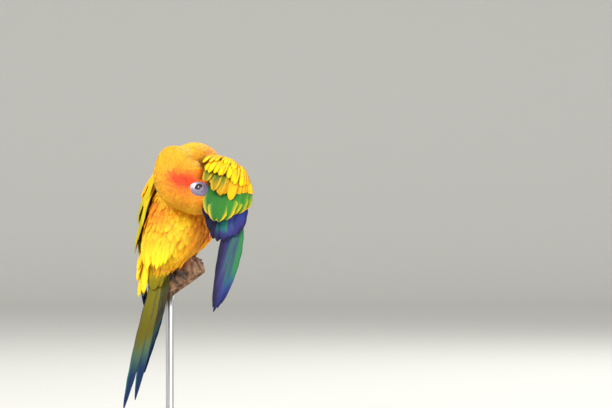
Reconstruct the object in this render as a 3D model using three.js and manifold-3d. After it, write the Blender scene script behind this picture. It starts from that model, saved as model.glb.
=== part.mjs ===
// Sun conure, a life-size still model on a stub of branch and a plain display stand.
// Millimetres, +Z up, origin at the middle of the underside of the stand's base.
// The bird is seen from behind in its main view, which looks along +Y with +X to the right.
// It has turned its head over its right shoulder, crown down, and reaches with its bill under
// the drooping right wing. The left wing is folded and the long tail hangs down.

import * as THREE from 'three';
import { mergeVertices } from 'three/addons/utils/BufferGeometryUtils.js';
import Module from 'manifold-3d';

const wasm = await Module();
wasm.setup();
const { Manifold, Mesh: SolidMesh } = wasm;

const point = (x, y, z) => new THREE.Vector3(x, y, z);

// Driving dimensions

const GAP = 0.3; // between the faces of pieces that touch
const EGG_POLE = 0.42; // of the end row's half width, how far an egg's pole stands out
const DOME = { out: 0.55, narrow: 0.78, pole: 0.92 }; // of a tube's radius, at its domed ends
const FINEST = 0.05; // details smaller than this are smoothed away after a cut
const MERGE = 0.002; // points closer than this are one
const SEED = 41;

const BASE_RADIUS = 66;
const BASE_HEIGHT = 10;
const BASE_BEVEL = 1.6;
const ROD_RADIUS = 3;
const ROD_AT = point(-12, 18, 0);

const PERCH_LOW_END = point(-28, 30, 96);
const PERCH_TOP_END = point(10.3, 10, 127);
const PERCH_RADIUS = 7.4;
const PERCH_LUMP = 0.7;
const PERCH_SLIM = 0.94; // of its radius at the low end
const PERCH_SWELL = 0.14; // of its radius, more at the broken end
const PERCH_RIDGES = [
  { round: 3, twist: 5, part: 0.6 },
  { round: 7, twist: -4, part: 0.4 },
];
const PERCH_LOW_BEVEL = 0.9;
const PERCH_BROKEN_EDGE = 2.2;
const PERCH_BROKEN_RISE = 0.8;

const HEADING_DEG = 30; // the body's forward direction, turned from +Y towards +X
const PITCH_DEG = 58; // rise of the body's axis over level
const TAIL_ROOT = point(-17, 0, 122); // where the body's axis ends and the tail starts

// Half sizes of the torso along its axis: distance from the tail's root, half width, height of
// the back over the axis, depth of the belly under it
const TORSO = [
  [-4, 6.5, 7, 3],
  [4, 11.5, 12.5, 4.5],
  [14, 18.8, 18, 7.5],
  [29, 25, 21, 14],
  [46, 26.3, 21.5, 23],
  [62, 24.5, 21.5, 27],
  [76, 22, 20, 25],
  [88, 16.5, 16, 19.5],
  [95, 9, 9, 11],
];

const LEAN = 1.2; // of the torso's middle over the right foot

// The neck's axis with its radius, from inside the shoulders over the top and round to the nape
const NECK_RISE = [
  [point(9, 37, 186), 14],
  [point(12, 28, 199), 15],
  [point(5, 13, 203), 14],
  [point(-3.5, 3, 200.5), 12.2],
  [point(-10, -5, 193.5), 14],
];
const NECK_HOOK = [
  [point(-7.6, -3, 201.6), 14.2],
  [point(-10, -8.5, 190.5), 14.4],
  [point(-6, -12, 180.5), 14],
  [point(2, -12.2, 177), 13.6],
];
// The fluffed throat, which fills the hollow between the neck and the cheeks
const THROAT = [
  [point(-6, -7, 192), 13],
  [point(6, -8, 190.5), 12],
];

// The head's own frame: x towards the bill, y towards the left eye, z towards the crown
const HEAD_AT = point(9.9, -11.6, 175.5);
const HEAD_LEFT = point(-0.231, -0.788, 0.571).normalize();
const HEAD_FORWARD = point(0.898, 0.054, 0.437);
const HEAD = [
  [-14, 6, 6, 6],
  [-9, 11, 11.5, 11],
  [-2, 13.4, 14.6, 13.4],
  [4, 12.8, 14, 13],
  [9.5, 10.2, 10.8, 11],
  [13.5, 7, 7, 7.6],
];
const EYE_AT = point(3.4, 9.4, 2.2);
const EYE_RADIUS = 3.9;
const LID_RADIUS = 3.1;
const LID_THICK = 0.75;
const LID_OUT = 2.9; // of the lids over the eye's centre
const BARE_RING_RADIUS = 6;
const BARE_RING_THICK = 0.8;
const BARE_RING_OUT = 1.9;

// Bill: distance forward, height, half width, half depth
const BILL_UPPER = [
  [10, 1.6, 5.6, 5.2],
  [15.5, 2.2, 5.4, 5],
  [19.8, 0.6, 4.3, 4.1],
  [22.6, -3.8, 2.7, 2.5],
  [23.4, -9.6, 0.5, 0.5],
];
const BILL_LOWER = [
  [8, -6.6, 4.6, 3.4],
  [13, -7.8, 4.4, 3.1],
  [17, -7.9, 3.5, 2.4],
  [19.4, -6.2, 1.6, 0.9],
];
const BILL_ROOT_POLE = 0.5; // behind the first row
const BILL_TIP_POLE = 0.4; // beyond the last row
const NOSTRIL_RADIUS = 0.8;
const NOSTRIL_AT = point(15.6, 2.6, 6.6);

const TOE_RADIUS = 1.75;
const SHANK_RADIUS = 2.3;
const TOE_LIFT = 0.45; // of the toes' undersides over the bark
const CLAW_LENGTH = 6;
const FOOT_SHARES = { right: 0.66, left: 0.22 }; // along the perch from its low end

const HIP_SPOT = [31, 11, -12]; // forward, to its own side, back
const THIGH = [8.5, 6, 3.2]; // radii at the hip, at the knee and at the ankle
const KNEE_SHARE = 0.6; // from the hip to the ankle
const ANKLE_LIFT = 3.2; // over the toes' middle
const ANKLE_BACK = 1.5;
// Toes: whether in front, their spread along the perch and their reach round it in radians
const TOES = [
  { front: true, spread: 4.2, reach: 1.75 },
  { front: true, spread: -2.6, reach: 1.45 },
  { front: false, spread: 3.6, reach: 1.5 },
  { front: false, spread: -3.4, reach: 1.15 },
];
const TOE_START = 0.05; // radians from the top of the perch
const TOE_TAPER = 0.28;
const CLAW_ROOT_RADIUS = 1.37;
const CLAW_TIP_RADIUS = 0.22;
const CLAW_ARCH = 1.5;
const CLAW_TIP_LIFT = 0.3;

const VANE_THICK = 0.55;
const VANE_TIP_FROM = 0.9; // share of its length from which a vane is thinner
const VANE_TIP_THICK = 0.7; // of its thickness
const LENGTH_VARY = 0.025; // of a feather's length
const ROLL_VARY = 0.12; // of a feather's roll
const FEATHER_CLEAR = 0.9; // of the wings' feathers over the body

// Frames

const heading = THREE.MathUtils.degToRad(HEADING_DEG);
const pitch = THREE.MathUtils.degToRad(PITCH_DEG);
const FORWARD = point(
  Math.sin(heading) * Math.cos(pitch),
  Math.cos(heading) * Math.cos(pitch),
  Math.sin(pitch),
);
const RIGHT = point(Math.cos(heading), -Math.sin(heading), 0);
const DORSAL = RIGHT.clone().cross(FORWARD);

/** A point of the body's own frame: forward from the tail's root, to the right, to the back. */
function body(forward, right, back) {
  return TAIL_ROOT.clone()
    .addScaledVector(FORWARD, forward)
    .addScaledVector(RIGHT, right)
    .addScaledVector(DORSAL, back);
}

const headForward = HEAD_FORWARD.clone()
  .addScaledVector(HEAD_LEFT, -HEAD_FORWARD.dot(HEAD_LEFT))
  .normalize();
const headCrown = headForward.clone().cross(HEAD_LEFT);

/** A point of the head's own frame. */
function head(forward, left, crown) {
  return HEAD_AT.clone()
    .addScaledVector(headForward, forward)
    .addScaledVector(HEAD_LEFT, left)
    .addScaledVector(headCrown, crown);
}

// Random draws

let drawState = SEED;

/** The next seeded draw between -1 and 1. */
function draw() {
  drawState = (drawState * 1664525 + 1013904223) % 4294967296;
  return (drawState / 4294967296) * 2 - 1;
}

// Solids

/** A closed solid of points and faces, turned to face outwards. */
function solidOf(points, faces) {
  const volume = faces.reduce(
    (sum, [a, b, c]) => sum + points[a].dot(points[b].clone().cross(points[c])),
    0,
  );
  const outward = volume < 0 ? faces.map(([a, b, c]) => [a, c, b]) : faces;
  return new Manifold(new SolidMesh({
    numProp: 3,
    vertProperties: new Float32Array(points.flatMap((p) => [p.x, p.y, p.z])),
    triVerts: new Uint32Array(outward.flat()),
  }));
}

/** A solid of a three.js geometry, moved to a place. */
function solidFrom(geometry, place = point(0, 0, 0)) {
  const bare = geometry.clone();
  bare.deleteAttribute('normal');
  bare.deleteAttribute('uv');
  const merged = mergeVertices(bare, MERGE);
  const spots = merged.attributes.position;
  const points = Array.from({ length: spots.count }, (_, i) =>
    point(spots.getX(i), spots.getY(i), spots.getZ(i)).add(place));
  const index = merged.index.array;
  const faces = [];
  for (let i = 0; i < index.length; i += 3) {
    const [a, b, c] = [index[i], index[i + 1], index[i + 2]];
    if (a !== b && b !== c && a !== c) faces.push([a, b, c]);
  }
  return solidOf(points, faces);
}

/** A closed skin over rings of points, with a pole at each end. */
function skinOver(rings, firstPole, lastPole) {
  const sides = rings[0].length;
  const points = [...rings.flat(), firstPole, lastPole];
  const first = points.length - 2;
  const last = points.length - 1;
  const faces = [];
  for (let side = 0; side < sides; side += 1) {
    const next = (side + 1) % sides;
    faces.push([first, next, side]);
    faces.push([last, (rings.length - 1) * sides + side, (rings.length - 1) * sides + next]);
    for (let ring = 0; ring + 1 < rings.length; ring += 1) {
      const here = ring * sides;
      const there = here + sides;
      faces.push([here + side, here + next, there + next]);
      faces.push([here + side, there + next, there + side]);
    }
  }
  return solidOf(points, faces);
}

/** Rows of numbers as a smooth function of a share from 0 to 1. */
function smooth(rows) {
  const curves = [0, 3].map((start) => new THREE.CatmullRomCurve3(
    rows.map((row) => point(row[start] ?? 0, row[start + 1] ?? 0, row[start + 2] ?? 0)),
  ));
  return (share) => curves.flatMap((curve) => curve.getPoint(share).toArray());
}

/** An egg-like body on a straight axis, from rows of distance, half width, height and depth. */
function egg(rows, place, sides, count, grow = 0) {
  const shape = smooth(rows);
  const rings = Array.from({ length: count }, (_, i) => {
    const [at, wide, high, deep] = shape(i / (count - 1));
    return Array.from({ length: sides }, (_, side) => {
      const turn = (side / sides) * 2 * Math.PI;
      const rise = Math.sin(turn);
      return place(at, (wide + grow) * Math.cos(turn), rise * ((rise > 0 ? high : deep) + grow));
    });
  });
  const [start, startWide] = rows[0];
  const [end, endWide] = rows[rows.length - 1];
  return skinOver(
    rings,
    place(start - EGG_POLE * startWide - grow, 0, 0),
    place(end + EGG_POLE * endWide + grow, 0, 0),
  );
}

/** A round tube with domed ends through places with their radii. */
function tube(stops, sides, count, grow = 0) {
  const path = new THREE.CatmullRomCurve3(stops.map(([at]) => at));
  const radii = smooth(stops.map(([, radius]) => [radius]));
  const frames = path.computeFrenetFrames(count - 1);
  const ring = (at, index, radius) => Array.from({ length: sides }, (_, side) => {
    const turn = (side / sides) * 2 * Math.PI;
    return at.clone()
      .addScaledVector(frames.normals[index], radius * Math.cos(turn))
      .addScaledVector(frames.binormals[index], radius * Math.sin(turn));
  });
  const rings = Array.from({ length: count }, (_, i) =>
    ring(path.getPoint(i / (count - 1)), i, radii(i / (count - 1))[0] + grow));
  const ends = [0, 1].map((end) => {
    const index = end * (count - 1);
    const radius = radii(end)[0] + grow;
    const out = path.getTangent(end).multiplyScalar(end ? 1 : -1);
    const at = path.getPoint(end);
    return {
      ring: ring(at.clone().addScaledVector(out, radius * DOME.out), index, radius * DOME.narrow),
      pole: at.clone().addScaledVector(out, radius * DOME.pole),
    };
  });
  return skinOver([ends[0].ring, ...rings, ends[1].ring], ends[0].pole, ends[1].pole);
}

/** The three.js geometry of a solid. */
function geometryOf(solid) {
  const { vertProperties, triVerts } = solid.getMesh();
  const geometry = new THREE.BufferGeometry();
  geometry.setAttribute('position', new THREE.BufferAttribute(vertProperties, 3));
  geometry.setIndex(new THREE.BufferAttribute(triVerts, 1));
  return geometry;
}

/** The same solid with points that share one place drawn apart, each into its own side. */
function drawnApart(solid) {
  const { vertProperties, triVerts } = solid.getMesh();
  const points = Array.from({ length: vertProperties.length / 3 }, (_, i) =>
    point(...vertProperties.slice(3 * i, 3 * i + 3)));
  const faces = Array.from({ length: triVerts.length / 3 }, (_, i) =>
    [...triVerts.slice(3 * i, 3 * i + 3)]);
  const outward = points.map(() => point(0, 0, 0));
  faces.forEach(([a, b, c]) => {
    const normal = points[b].clone().sub(points[a]).cross(points[c].clone().sub(points[a]));
    [a, b, c].forEach((corner) => outward[corner].add(normal));
  });
  const places = new Map();
  points.forEach((spot, i) => {
    const key = spot.toArray().map((number) => Math.round(number / MERGE)).join();
    places.set(key, [...(places.get(key) ?? []), i]);
  });
  [...places.values()].filter((shared) => shared.length > 1).flat().forEach((i) => {
    points[i].addScaledVector(outward[i].normalize(), -FINEST / 2);
  });
  return solidOf(points, faces);
}

/** The largest closed surface of a solid, once points that all but touch are made one. */
function largest(solid) {
  const settled = solidFrom(geometryOf(solid.simplify(FINEST)));
  const pieces = settled.decompose();
  return drawnApart(pieces.reduce((best, piece) => (piece.volume() > best.volume() ? piece : best)));
}

const join = (...solids) => solids.reduce((sum, solid) => sum.add(solid));
const clear = (solid, ...others) => others.reduce((rest, other) => rest.subtract(other), solid);

// Feathers

/** Half width of a vane at shares of its length, as parts of its widest. */
const BLUNT = [[0, 0.5], [0.35, 1], [0.78, 0.92], [0.95, 0.5], [1, 0.16]];
const POINTED = [[0, 0.5], [0.35, 1], [0.75, 0.78], [0.93, 0.38], [1, 0.1]];

/** One flight feather or covert: a thin bowed blade, rolled about its shaft. */
function vane({ root, tip, face, bow, width, roll, outline }, grow = 0) {
  const along = tip.clone().sub(root).normalize();
  const flat = face.clone().addScaledVector(along, -face.dot(along)).normalize();
  const level = along.clone().cross(flat);
  const across = level.clone().multiplyScalar(Math.cos(roll)).addScaledVector(flat, Math.sin(roll));
  const over = across.clone().cross(along);
  const points = outline.flatMap(([share, part]) => {
    const middle = root.clone().lerp(tip, share).addScaledVector(flat, bow * 4 * share * (1 - share));
    const thick = (VANE_THICK / 2) * (share < VANE_TIP_FROM ? 1 : VANE_TIP_THICK) + grow;
    return [[-1, 1], [1, 1], [1, -1], [-1, -1]].map(([side, rise]) => middle.clone()
      .addScaledVector(across, side * (part * width + grow))
      .addScaledVector(over, rise * thick));
  });
  const faces = [[3, 2, 1], [3, 1, 0]];
  for (let station = 0; station + 1 < outline.length; station += 1) {
    const near = 4 * station;
    const far = near + 4;
    faces.push([near, near + 1, far + 1], [near, far + 1, far]);
    faces.push([near + 1, near + 2, far + 2], [near + 1, far + 2, far + 1]);
    faces.push([near + 2, near + 3, far + 2], [near + 3, far + 3, far + 2]);
    faces.push([near + 3, near, far], [near + 3, far, far + 3]);
  }
  const end = 4 * (outline.length - 1);
  faces.push([end, end + 1, end + 2], [end, end + 2, end + 3]);
  return solidOf(points, faces);
}

/** The vanes of one tier, from its leading to its innermost feather. */
function tierVanes({ count, feather, width, roll, outline = BLUNT, step = 0 }) {
  return Array.from({ length: count }, (_, i) => {
    const share = count > 1 ? i / (count - 1) : 0;
    const { root, tip, face, bow } = feather(share);
    const [leadWidth, innerWidth] = width;
    const reach = tip.clone().sub(root).multiplyScalar(LENGTH_VARY * draw());
    return vane({
      root,
      tip: tip.add(reach).addScaledVector(face, step * (i + 1 - count)),
      face,
      bow,
      width: THREE.MathUtils.lerp(leadWidth, innerWidth, share),
      roll: roll * (1 + ROLL_VARY * draw()),
      outline,
    });
  });
}

// Stand

function standBase() {
  const profile = [
    [0, 0],
    [BASE_RADIUS, 0],
    [BASE_RADIUS, BASE_HEIGHT - BASE_BEVEL],
    [BASE_RADIUS - BASE_BEVEL, BASE_HEIGHT],
    [0, BASE_HEIGHT],
  ].map(([radius, height]) => new THREE.Vector2(radius, height));
  return solidFrom(new THREE.LatheGeometry(profile, 40).rotateX(Math.PI / 2));
}

function standRod(perchGrown) {
  const foot = BASE_HEIGHT + GAP;
  const height = PERCH_TOP_END.z - foot;
  const rod = new THREE.CylinderGeometry(ROD_RADIUS, ROD_RADIUS, height, 14).rotateX(Math.PI / 2);
  return largest(clear(solidFrom(rod, point(ROD_AT.x, ROD_AT.y, foot + height / 2)), perchGrown));
}

// Perch

const perchAxis = PERCH_TOP_END.clone().sub(PERCH_LOW_END);
const perchLength = perchAxis.length();
perchAxis.normalize();
const perchUp = point(0, 0, 1).addScaledVector(perchAxis, -perchAxis.z).normalize();
const perchSide = perchAxis.clone().cross(perchUp); // towards the bird's front

/** The perch's radius: a stub that swells to its broken end, with long weathered ridges. */
function perchRadius(share, turn) {
  const ridges = PERCH_RIDGES.map(({ round, twist, part }) =>
    part * Math.sin(round * turn + twist * share));
  return PERCH_RADIUS * (PERCH_SLIM + PERCH_SWELL * share ** 3) + PERCH_LUMP * (ridges[0] + ridges[1]);
}

/** A point round the perch, at a share of its length, an angle from its top and a height over it. */
function onPerch(share, turn, over = 0) {
  const radius = perchRadius(share, turn) + over;
  return PERCH_LOW_END.clone()
    .addScaledVector(perchAxis, share * perchLength)
    .addScaledVector(perchUp, radius * Math.cos(turn))
    .addScaledVector(perchSide, radius * Math.sin(turn));
}

function perch(grow = 0) {
  const sides = 22;
  const shares = [0, 0.02, 0.25, 0.5, 0.75, 0.93, 1];
  const rings = shares.map((share) => {
    const pinch = share === 0 ? PERCH_LOW_BEVEL : 0;
    const broken = share === 1 ? PERCH_BROKEN_EDGE : 0;
    return Array.from({ length: sides }, (_, side) =>
      onPerch(share, (side / sides) * 2 * Math.PI, grow - pinch - broken));
  });
  const start = PERCH_LOW_END.clone().addScaledVector(perchAxis, -grow);
  const end = PERCH_TOP_END.clone().addScaledVector(perchAxis, grow + PERCH_BROKEN_RISE);
  return skinOver(rings, start, end);
}

// Trunk of the body

const torso = (grow = 0, sides = 26, rings = 14) =>
  egg(TORSO, (at, right, back) => body(at, right + LEAN, back), sides, rings, grow);
const neckForm = (grow = 0) => join(
  tube(NECK_RISE, 18, 7, grow),
  tube(NECK_HOOK, 18, 5, grow),
  tube(THROAT, 16, 4, grow),
);

// Head

function headForm(grow = 0) {
  return egg(HEAD, head, 22, 10, grow);
}

/** A place on the eye's axis, for one side of the head. */
const eyeAt = (side, out = 0) => head(EYE_AT.x, side * (EYE_AT.y + out), EYE_AT.z);

/** A ring round the eye that stands a little proud of the face. */
function eyeRing(side, radius, thick, out) {
  const ring = new THREE.TorusGeometry(radius, thick, 4, 13);
  const inward = HEAD_LEFT.clone().multiplyScalar(-1);
  const turn = new THREE.Matrix4().makeBasis(headForward, headCrown, inward);
  return solidFrom(ring.applyMatrix4(turn), eyeAt(side, out));
}

const eyeBall = (side, grow = 0) =>
  solidFrom(new THREE.SphereGeometry(EYE_RADIUS + grow, 14, 8), eyeAt(side));

/** The bill's halves lie in the head's middle plane. */
function billForm(rows, grow = 0) {
  const shape = smooth(rows.map(([x, z, wide, deep]) => [x, z, 0, wide, deep]));
  const count = 9;
  const sides = 12;
  const centre = (share) => {
    const [x, z] = shape(share);
    return new THREE.Vector2(x, z);
  };
  const rings = Array.from({ length: count }, (_, i) => {
    const share = i / (count - 1);
    const [x, z, , wide, deep] = shape(share);
    const way = centre(Math.min(1, share + 0.02)).sub(centre(Math.max(0, share - 0.02))).normalize();
    return Array.from({ length: sides }, (_, side) => {
      const turn = (side / sides) * 2 * Math.PI;
      const rise = (deep + grow) * Math.sin(turn);
      return head(x - way.y * rise, (wide + grow) * Math.cos(turn), z + way.x * rise);
    });
  });
  const [x0, z0] = shape(0);
  const [x1, z1] = shape(1);
  const way = centre(1).sub(centre(0.97)).normalize();
  const reach = BILL_TIP_POLE + grow;
  return skinOver(
    rings,
    head(x0 - BILL_ROOT_POLE - grow, 0, z0),
    head(x1 + way.x * reach, 0, z1 + way.y * reach),
  );
}

/** The head with its lids and the rims of the bare skin round its eyes. */
function headWithLids(grow = 0) {
  const rings = [-1, 1].flatMap((side) => [
    eyeRing(side, LID_RADIUS, LID_THICK + grow, LID_OUT),
    eyeRing(side, BARE_RING_RADIUS, BARE_RING_THICK + grow, BARE_RING_OUT),
  ]);
  return join(headForm(grow), ...rings);
}

function billUpper() {
  const nostrils = [-1, 1].map((side) => solidFrom(
    new THREE.SphereGeometry(NOSTRIL_RADIUS, 10, 8),
    head(NOSTRIL_AT.x, side * NOSTRIL_AT.y, NOSTRIL_AT.z),
  ));
  return largest(clear(billForm(BILL_UPPER), headForm(GAP), ...nostrils));
}

const billLower = () => largest(clear(billForm(BILL_LOWER), headForm(GAP), billForm(BILL_UPPER, GAP)));

// Wings: a tier is a function of a share from its leading to its innermost feather

/** A tier of feathers between a line of roots and a line of tips. */
function tier({ roots, tips, faceLead, faceInner, bow = 2, rootLift = 0, tipLift = 0 }) {
  const rootLine = new THREE.CatmullRomCurve3(roots);
  const tipLine = new THREE.CatmullRomCurve3(tips);
  return (share) => {
    const face = faceLead.clone().lerp(faceInner, share).normalize();
    return {
      root: rootLine.getPoint(share).addScaledVector(face, rootLift),
      tip: tipLine.getPoint(share).addScaledVector(face, tipLift),
      face,
      bow,
    };
  };
}

const rightArm = [
  [point(17, 25, 192), 5],
  [point(24, 13, 197), 4.6],
  [point(32, 3, 196.5), 4.4],
  [point(39, -5, 191), 4.2],
  [point(42, -13, 181), 3.6],
  [point(42, -20, 167), 3],
  [point(41, -27, 152), 2],
];
const outFace = point(0.35, -0.85, 0.4);
const inFace = point(-0.1, -0.9, 0.42);
const topFace = point(0.1, -0.55, 0.85);
const rightTiers = [
  {
    count: 9,
    width: [4.4, 5],
    roll: -0.14,
    step: 0.8,
    outline: POINTED,
    feather: tier({
      roots: [point(42.5, -26, 153), point(43, -17, 168), point(42, -11, 180)],
      tips: [
        point(31, -55, 102),
        point(24, -58, 96),
        point(22.4, -54, 103),
        point(24.5, -43, 122),
        point(28, -36, 138),
      ],
      faceLead: outFace,
      faceInner: inFace,
      bow: 3,
      rootLift: -1.2,
      tipLift: -2.5,
    }),
  },
  {
    count: 7,
    width: [5.4, 5.8],
    roll: -0.16,
    step: 0.6,
    feather: tier({
      roots: [point(41, -11, 182), point(37, -2, 192), point(27, 6, 197.5)],
      tips: [point(40, -33, 150), point(32, -35, 146), point(22.5, -32, 144), point(17, -27, 158)],
      faceLead: outFace,
      faceInner: inFace,
      bow: 5,
      rootLift: 0.3,
      tipLift: 0,
    }),
  },
  {
    count: 7,
    width: [4.6, 5.4],
    roll: -0.18,
    step: 0.4,
    feather: tier({
      roots: [point(42, -11, 181), point(37, -3, 193.5), point(26, 7, 199.5)],
      tips: [point(43.5, -27, 164), point(35, -32, 161), point(25, -33, 160), point(18, -28, 174)],
      faceLead: outFace,
      faceInner: inFace,
      bow: 6,
      rootLift: 1.8,
      tipLift: 1.6,
    }),
  },
  {
    count: 6,
    width: [4.6, 5.2],
    roll: -0.2,
    step: 0.2,
    feather: tier({
      roots: [point(42, -9, 187), point(36, -1, 196.5), point(25, 10, 200.5)],
      tips: [point(45, -22, 172), point(36, -28, 173), point(27, -29, 176), point(18.5, -25, 184)],
      faceLead: outFace,
      faceInner: inFace,
      bow: 5,
      rootLift: 3.2,
      tipLift: 2.8,
    }),
  },
  {
    count: 6,
    width: [4, 4.6],
    roll: -0.2,
    feather: tier({
      roots: [point(41, -6, 191), point(34, 2, 198.5), point(24, 12, 201)],
      tips: [point(44.5, -17, 181), point(36, -23, 184), point(27, -21, 189), point(20, -15, 194.5)],
      faceLead: outFace,
      faceInner: topFace,
      bow: 4,
      rootLift: 3.8,
      tipLift: 3.6,
    }),
  },
];

const leftArm = [
  [body(76, -15, 6), 5],
  [body(86, -18, 3), 4.6],
  [body(88, -19.5, -6), 4.4],
  [body(76, -23, -9), 3.6],
  [body(60, -25, -9), 3],
  [body(46, -26, -8), 2],
];
const OUTWARD = RIGHT.clone().multiplyScalar(-1);
const lowFace = OUTWARD.clone().addScaledVector(DORSAL, -0.2);
const sideFace = OUTWARD.clone().addScaledVector(DORSAL, 0.3);
const backFace = OUTWARD.clone().addScaledVector(DORSAL, 0.8);
const leftTiers = [
  {
    count: 5,
    width: [4.8, 5.6],
    roll: 0.12,
    step: 0.62,
    outline: POINTED,
    feather: tier({
      roots: [body(47, -26.5, -9), body(66, -25, -9), body(80, -22, -8)],
      tips: [
        body(-26, -12.5, -9),
        body(-33, -10.5, -6),
        body(-20, -14, -3),
        body(0, -20, 1),
        body(18, -24.5, 4),
      ],
      faceLead: lowFace,
      faceInner: sideFace,
      bow: 8.5,
      rootLift: -0.5,
      tipLift: -1,
    }),
  },
  {
    count: 6,
    width: [5.4, 5.8],
    roll: 0.14,
    step: 0.5,
    feather: tier({
      roots: [body(82, -22, -8), body(84, -21, -1), body(80, -16, 11)],
      tips: [body(15, -27.5, -3), body(12, -26.5, 5), body(16, -21.5, 11.5), body(27, -17.5, 15.5)],
      faceLead: sideFace,
      faceInner: backFace,
      bow: 3.5,
      rootLift: 1,
      tipLift: 0.8,
    }),
  },
  {
    count: 5,
    width: [5.2, 5.8],
    roll: 0.16,
    step: 0.4,
    feather: tier({
      roots: [body(80, -23, -9), body(85, -22, -1), body(83, -15, 12)],
      tips: [body(40, -32.5, -7), body(38, -32.5, 2), body(41, -27, 10), body(48, -18, 16.5)],
      faceLead: sideFace,
      faceInner: backFace,
      bow: 3,
      rootLift: 2.2,
      tipLift: 2,
    }),
  },
  {
    count: 5,
    width: [5, 5.4],
    roll: 0.18,
    step: 0.2,
    feather: tier({
      roots: [body(86, -22, -7), body(88, -21, -1), body(87, -13, 12)],
      tips: [body(58, -34, -7), body(57, -34, 2), body(58, -27.5, 10.5), body(63, -17, 16.5)],
      faceLead: sideFace,
      faceInner: backFace,
      bow: 3,
      rootLift: 2.8,
      tipLift: 2.8,
    }),
  },
];

// Tail: graduated pairs, the middle pair on top

const TAIL_START = point(-16.7, 5, 128);
const TAIL_WAY = point(-22.5, -47, -107).normalize();
const TAIL_PAIRS = [
  [120, 112],
  [102, 95],
  [86, 89],
  [74, 76],
  [62, 62],
]; // length of the left and the right feather of each pair, from the tail's start
const TAIL_STEP = 0.72; // of one feather under the next
const TAIL_TOP = 1.5; // of the uppermost feather over the tail's axis
// Of a tail feather, at the middle pair and more for each pair outward
const TAIL_ROOT_SIDE = [0.8, 0.6];
const TAIL_TIP_SIDE = [3.8, 0.5];
const TAIL_HALF_WIDTH = [4.7, -0.25];
const TAIL_COVERTS = { count: 7, length: 26, shorter: 7, vary: 2, rootSide: 4, tipSide: 5.5 };
const tailFace = RIGHT.clone().cross(TAIL_WAY.clone().multiplyScalar(-1)).normalize();
const tailAt = (along, right, back) => TAIL_START.clone()
  .addScaledVector(TAIL_WAY, along)
  .addScaledVector(RIGHT, right)
  .addScaledVector(tailFace, back);

const tailQuills = TAIL_PAIRS.flatMap((lengths, pair) => lengths.map((length, half) => {
  const side = half ? 1 : -1;
  const depth = TAIL_TOP - TAIL_STEP * (2 * pair + half);
  const ofPair = ([middle, more]) => middle + more * pair;
  return {
    root: tailAt(2, side * ofPair(TAIL_ROOT_SIDE), depth),
    tip: tailAt(length, side * ofPair(TAIL_TIP_SIDE), depth),
    face: tailFace,
    bow: 0.6,
    width: ofPair(TAIL_HALF_WIDTH),
    roll: 0,
    outline: POINTED,
  };
}));
const tailCoverts = Array.from({ length: TAIL_COVERTS.count }, (_, i) => {
  const { count, length, shorter, vary, rootSide, tipSide } = TAIL_COVERTS;
  const side = (2 * i) / (count - 1) - 1;
  const reach = length - shorter * Math.abs(side) + vary * draw();
  return {
    root: tailAt(0, side * rootSide, 4.2 - Math.abs(side)),
    tip: tailAt(reach, side * tipSide, 3.4 - 1.6 * Math.abs(side)),
    face: tailFace,
    bow: 1.5,
    width: 3.4,
    roll: -0.3 * side,
    outline: BLUNT,
  };
});
const tailForm = (grow = 0) => join(
  tube([
    [tailAt(-4, 0, -1), 5.6],
    [tailAt(9, 0, -1), 5],
    [tailAt(20, 0, -2), 3.4],
  ], 16, 5, grow),
  ...[...tailQuills, ...tailCoverts].map((feather) => vane(feather, grow)),
);

// Long feathers of the left flank, which hang beside the tail's root
const flankFeathers = [
  [body(20, -16, -3), point(-32.5, 1, 103)],
  [body(18, -14, 1), point(-31.5, -3, 105)],
  [body(21, -16, -6), point(-33, 5, 107)],
  [body(16, -12, 5), point(-29, -6, 110)],
  [body(24, -19, -2), point(-35, 2, 114)],
].map(([root, tip], i) => ({
  root,
  tip,
  face: RIGHT.clone().multiplyScalar(-0.5).add(DORSAL),
  bow: 2,
  width: 3.4,
  roll: 0.3 + 0.2 * i,
  outline: BLUNT,
}));
const flank = (grow = 0) => join(...flankFeathers.map((feather) => vane(feather, grow)));

// Legs and feet

function legStops(side) {
  const [forward, out, back] = HIP_SPOT;
  const hip = body(forward, side === 'right' ? out : -out, back);
  const ankle = onPerch(FOOT_SHARES[side], 0, TOE_RADIUS + ANKLE_LIFT)
    .addScaledVector(perchSide, -ANKLE_BACK);
  const places = [hip, hip.clone().lerp(ankle, KNEE_SHARE), ankle];
  return { ankle, thigh: places.map((at, i) => [at, THIGH[i]]) };
}

const leg = (side, grow = 0) => tube(legStops(side).thigh, 16, 7, grow);

/** A toe that lies round the perch, from the top of the stub, with its claw. */
function toe(side, { front, spread, reach }) {
  const share = FOOT_SHARES[side];
  const spot = (turn, slide, over) => onPerch(share + slide / perchLength, turn, over);
  const way = front ? 1 : -1;
  const stops = Array.from({ length: 5 }, (_, i) => {
    const step = i / 4;
    const radius = TOE_RADIUS * (1 - TOE_TAPER * step);
    return [spot(way * (TOE_START + reach * step), spread * Math.sqrt(step), TOE_LIFT + radius), radius];
  });
  const clawTurn = CLAW_LENGTH / PERCH_RADIUS;
  const claw = Array.from({ length: 3 }, (_, i) => {
    const step = i / 2;
    const radius = THREE.MathUtils.lerp(CLAW_ROOT_RADIUS, CLAW_TIP_RADIUS, step);
    const lift = TOE_LIFT + CLAW_ARCH * (1 - step * step) + CLAW_TIP_LIFT;
    return [spot(way * (reach + clawTurn * step), spread, lift), radius];
  });
  return join(tube(stops, 6, 4), tube(claw, 5, 3));
}

function foot(side, legGrown) {
  const { ankle } = legStops(side);
  const sole = onPerch(FOOT_SHARES[side], 0, TOE_LIFT + SHANK_RADIUS);
  const shank = tube([[ankle, SHANK_RADIUS], [sole, SHANK_RADIUS]], 10, 3);
  const toes = TOES.map((form) => toe(side, form));
  return largest(clear(join(shank, ...toes), perchGrown, legGrown, torsoGrown));
}

// The whole model

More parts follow.
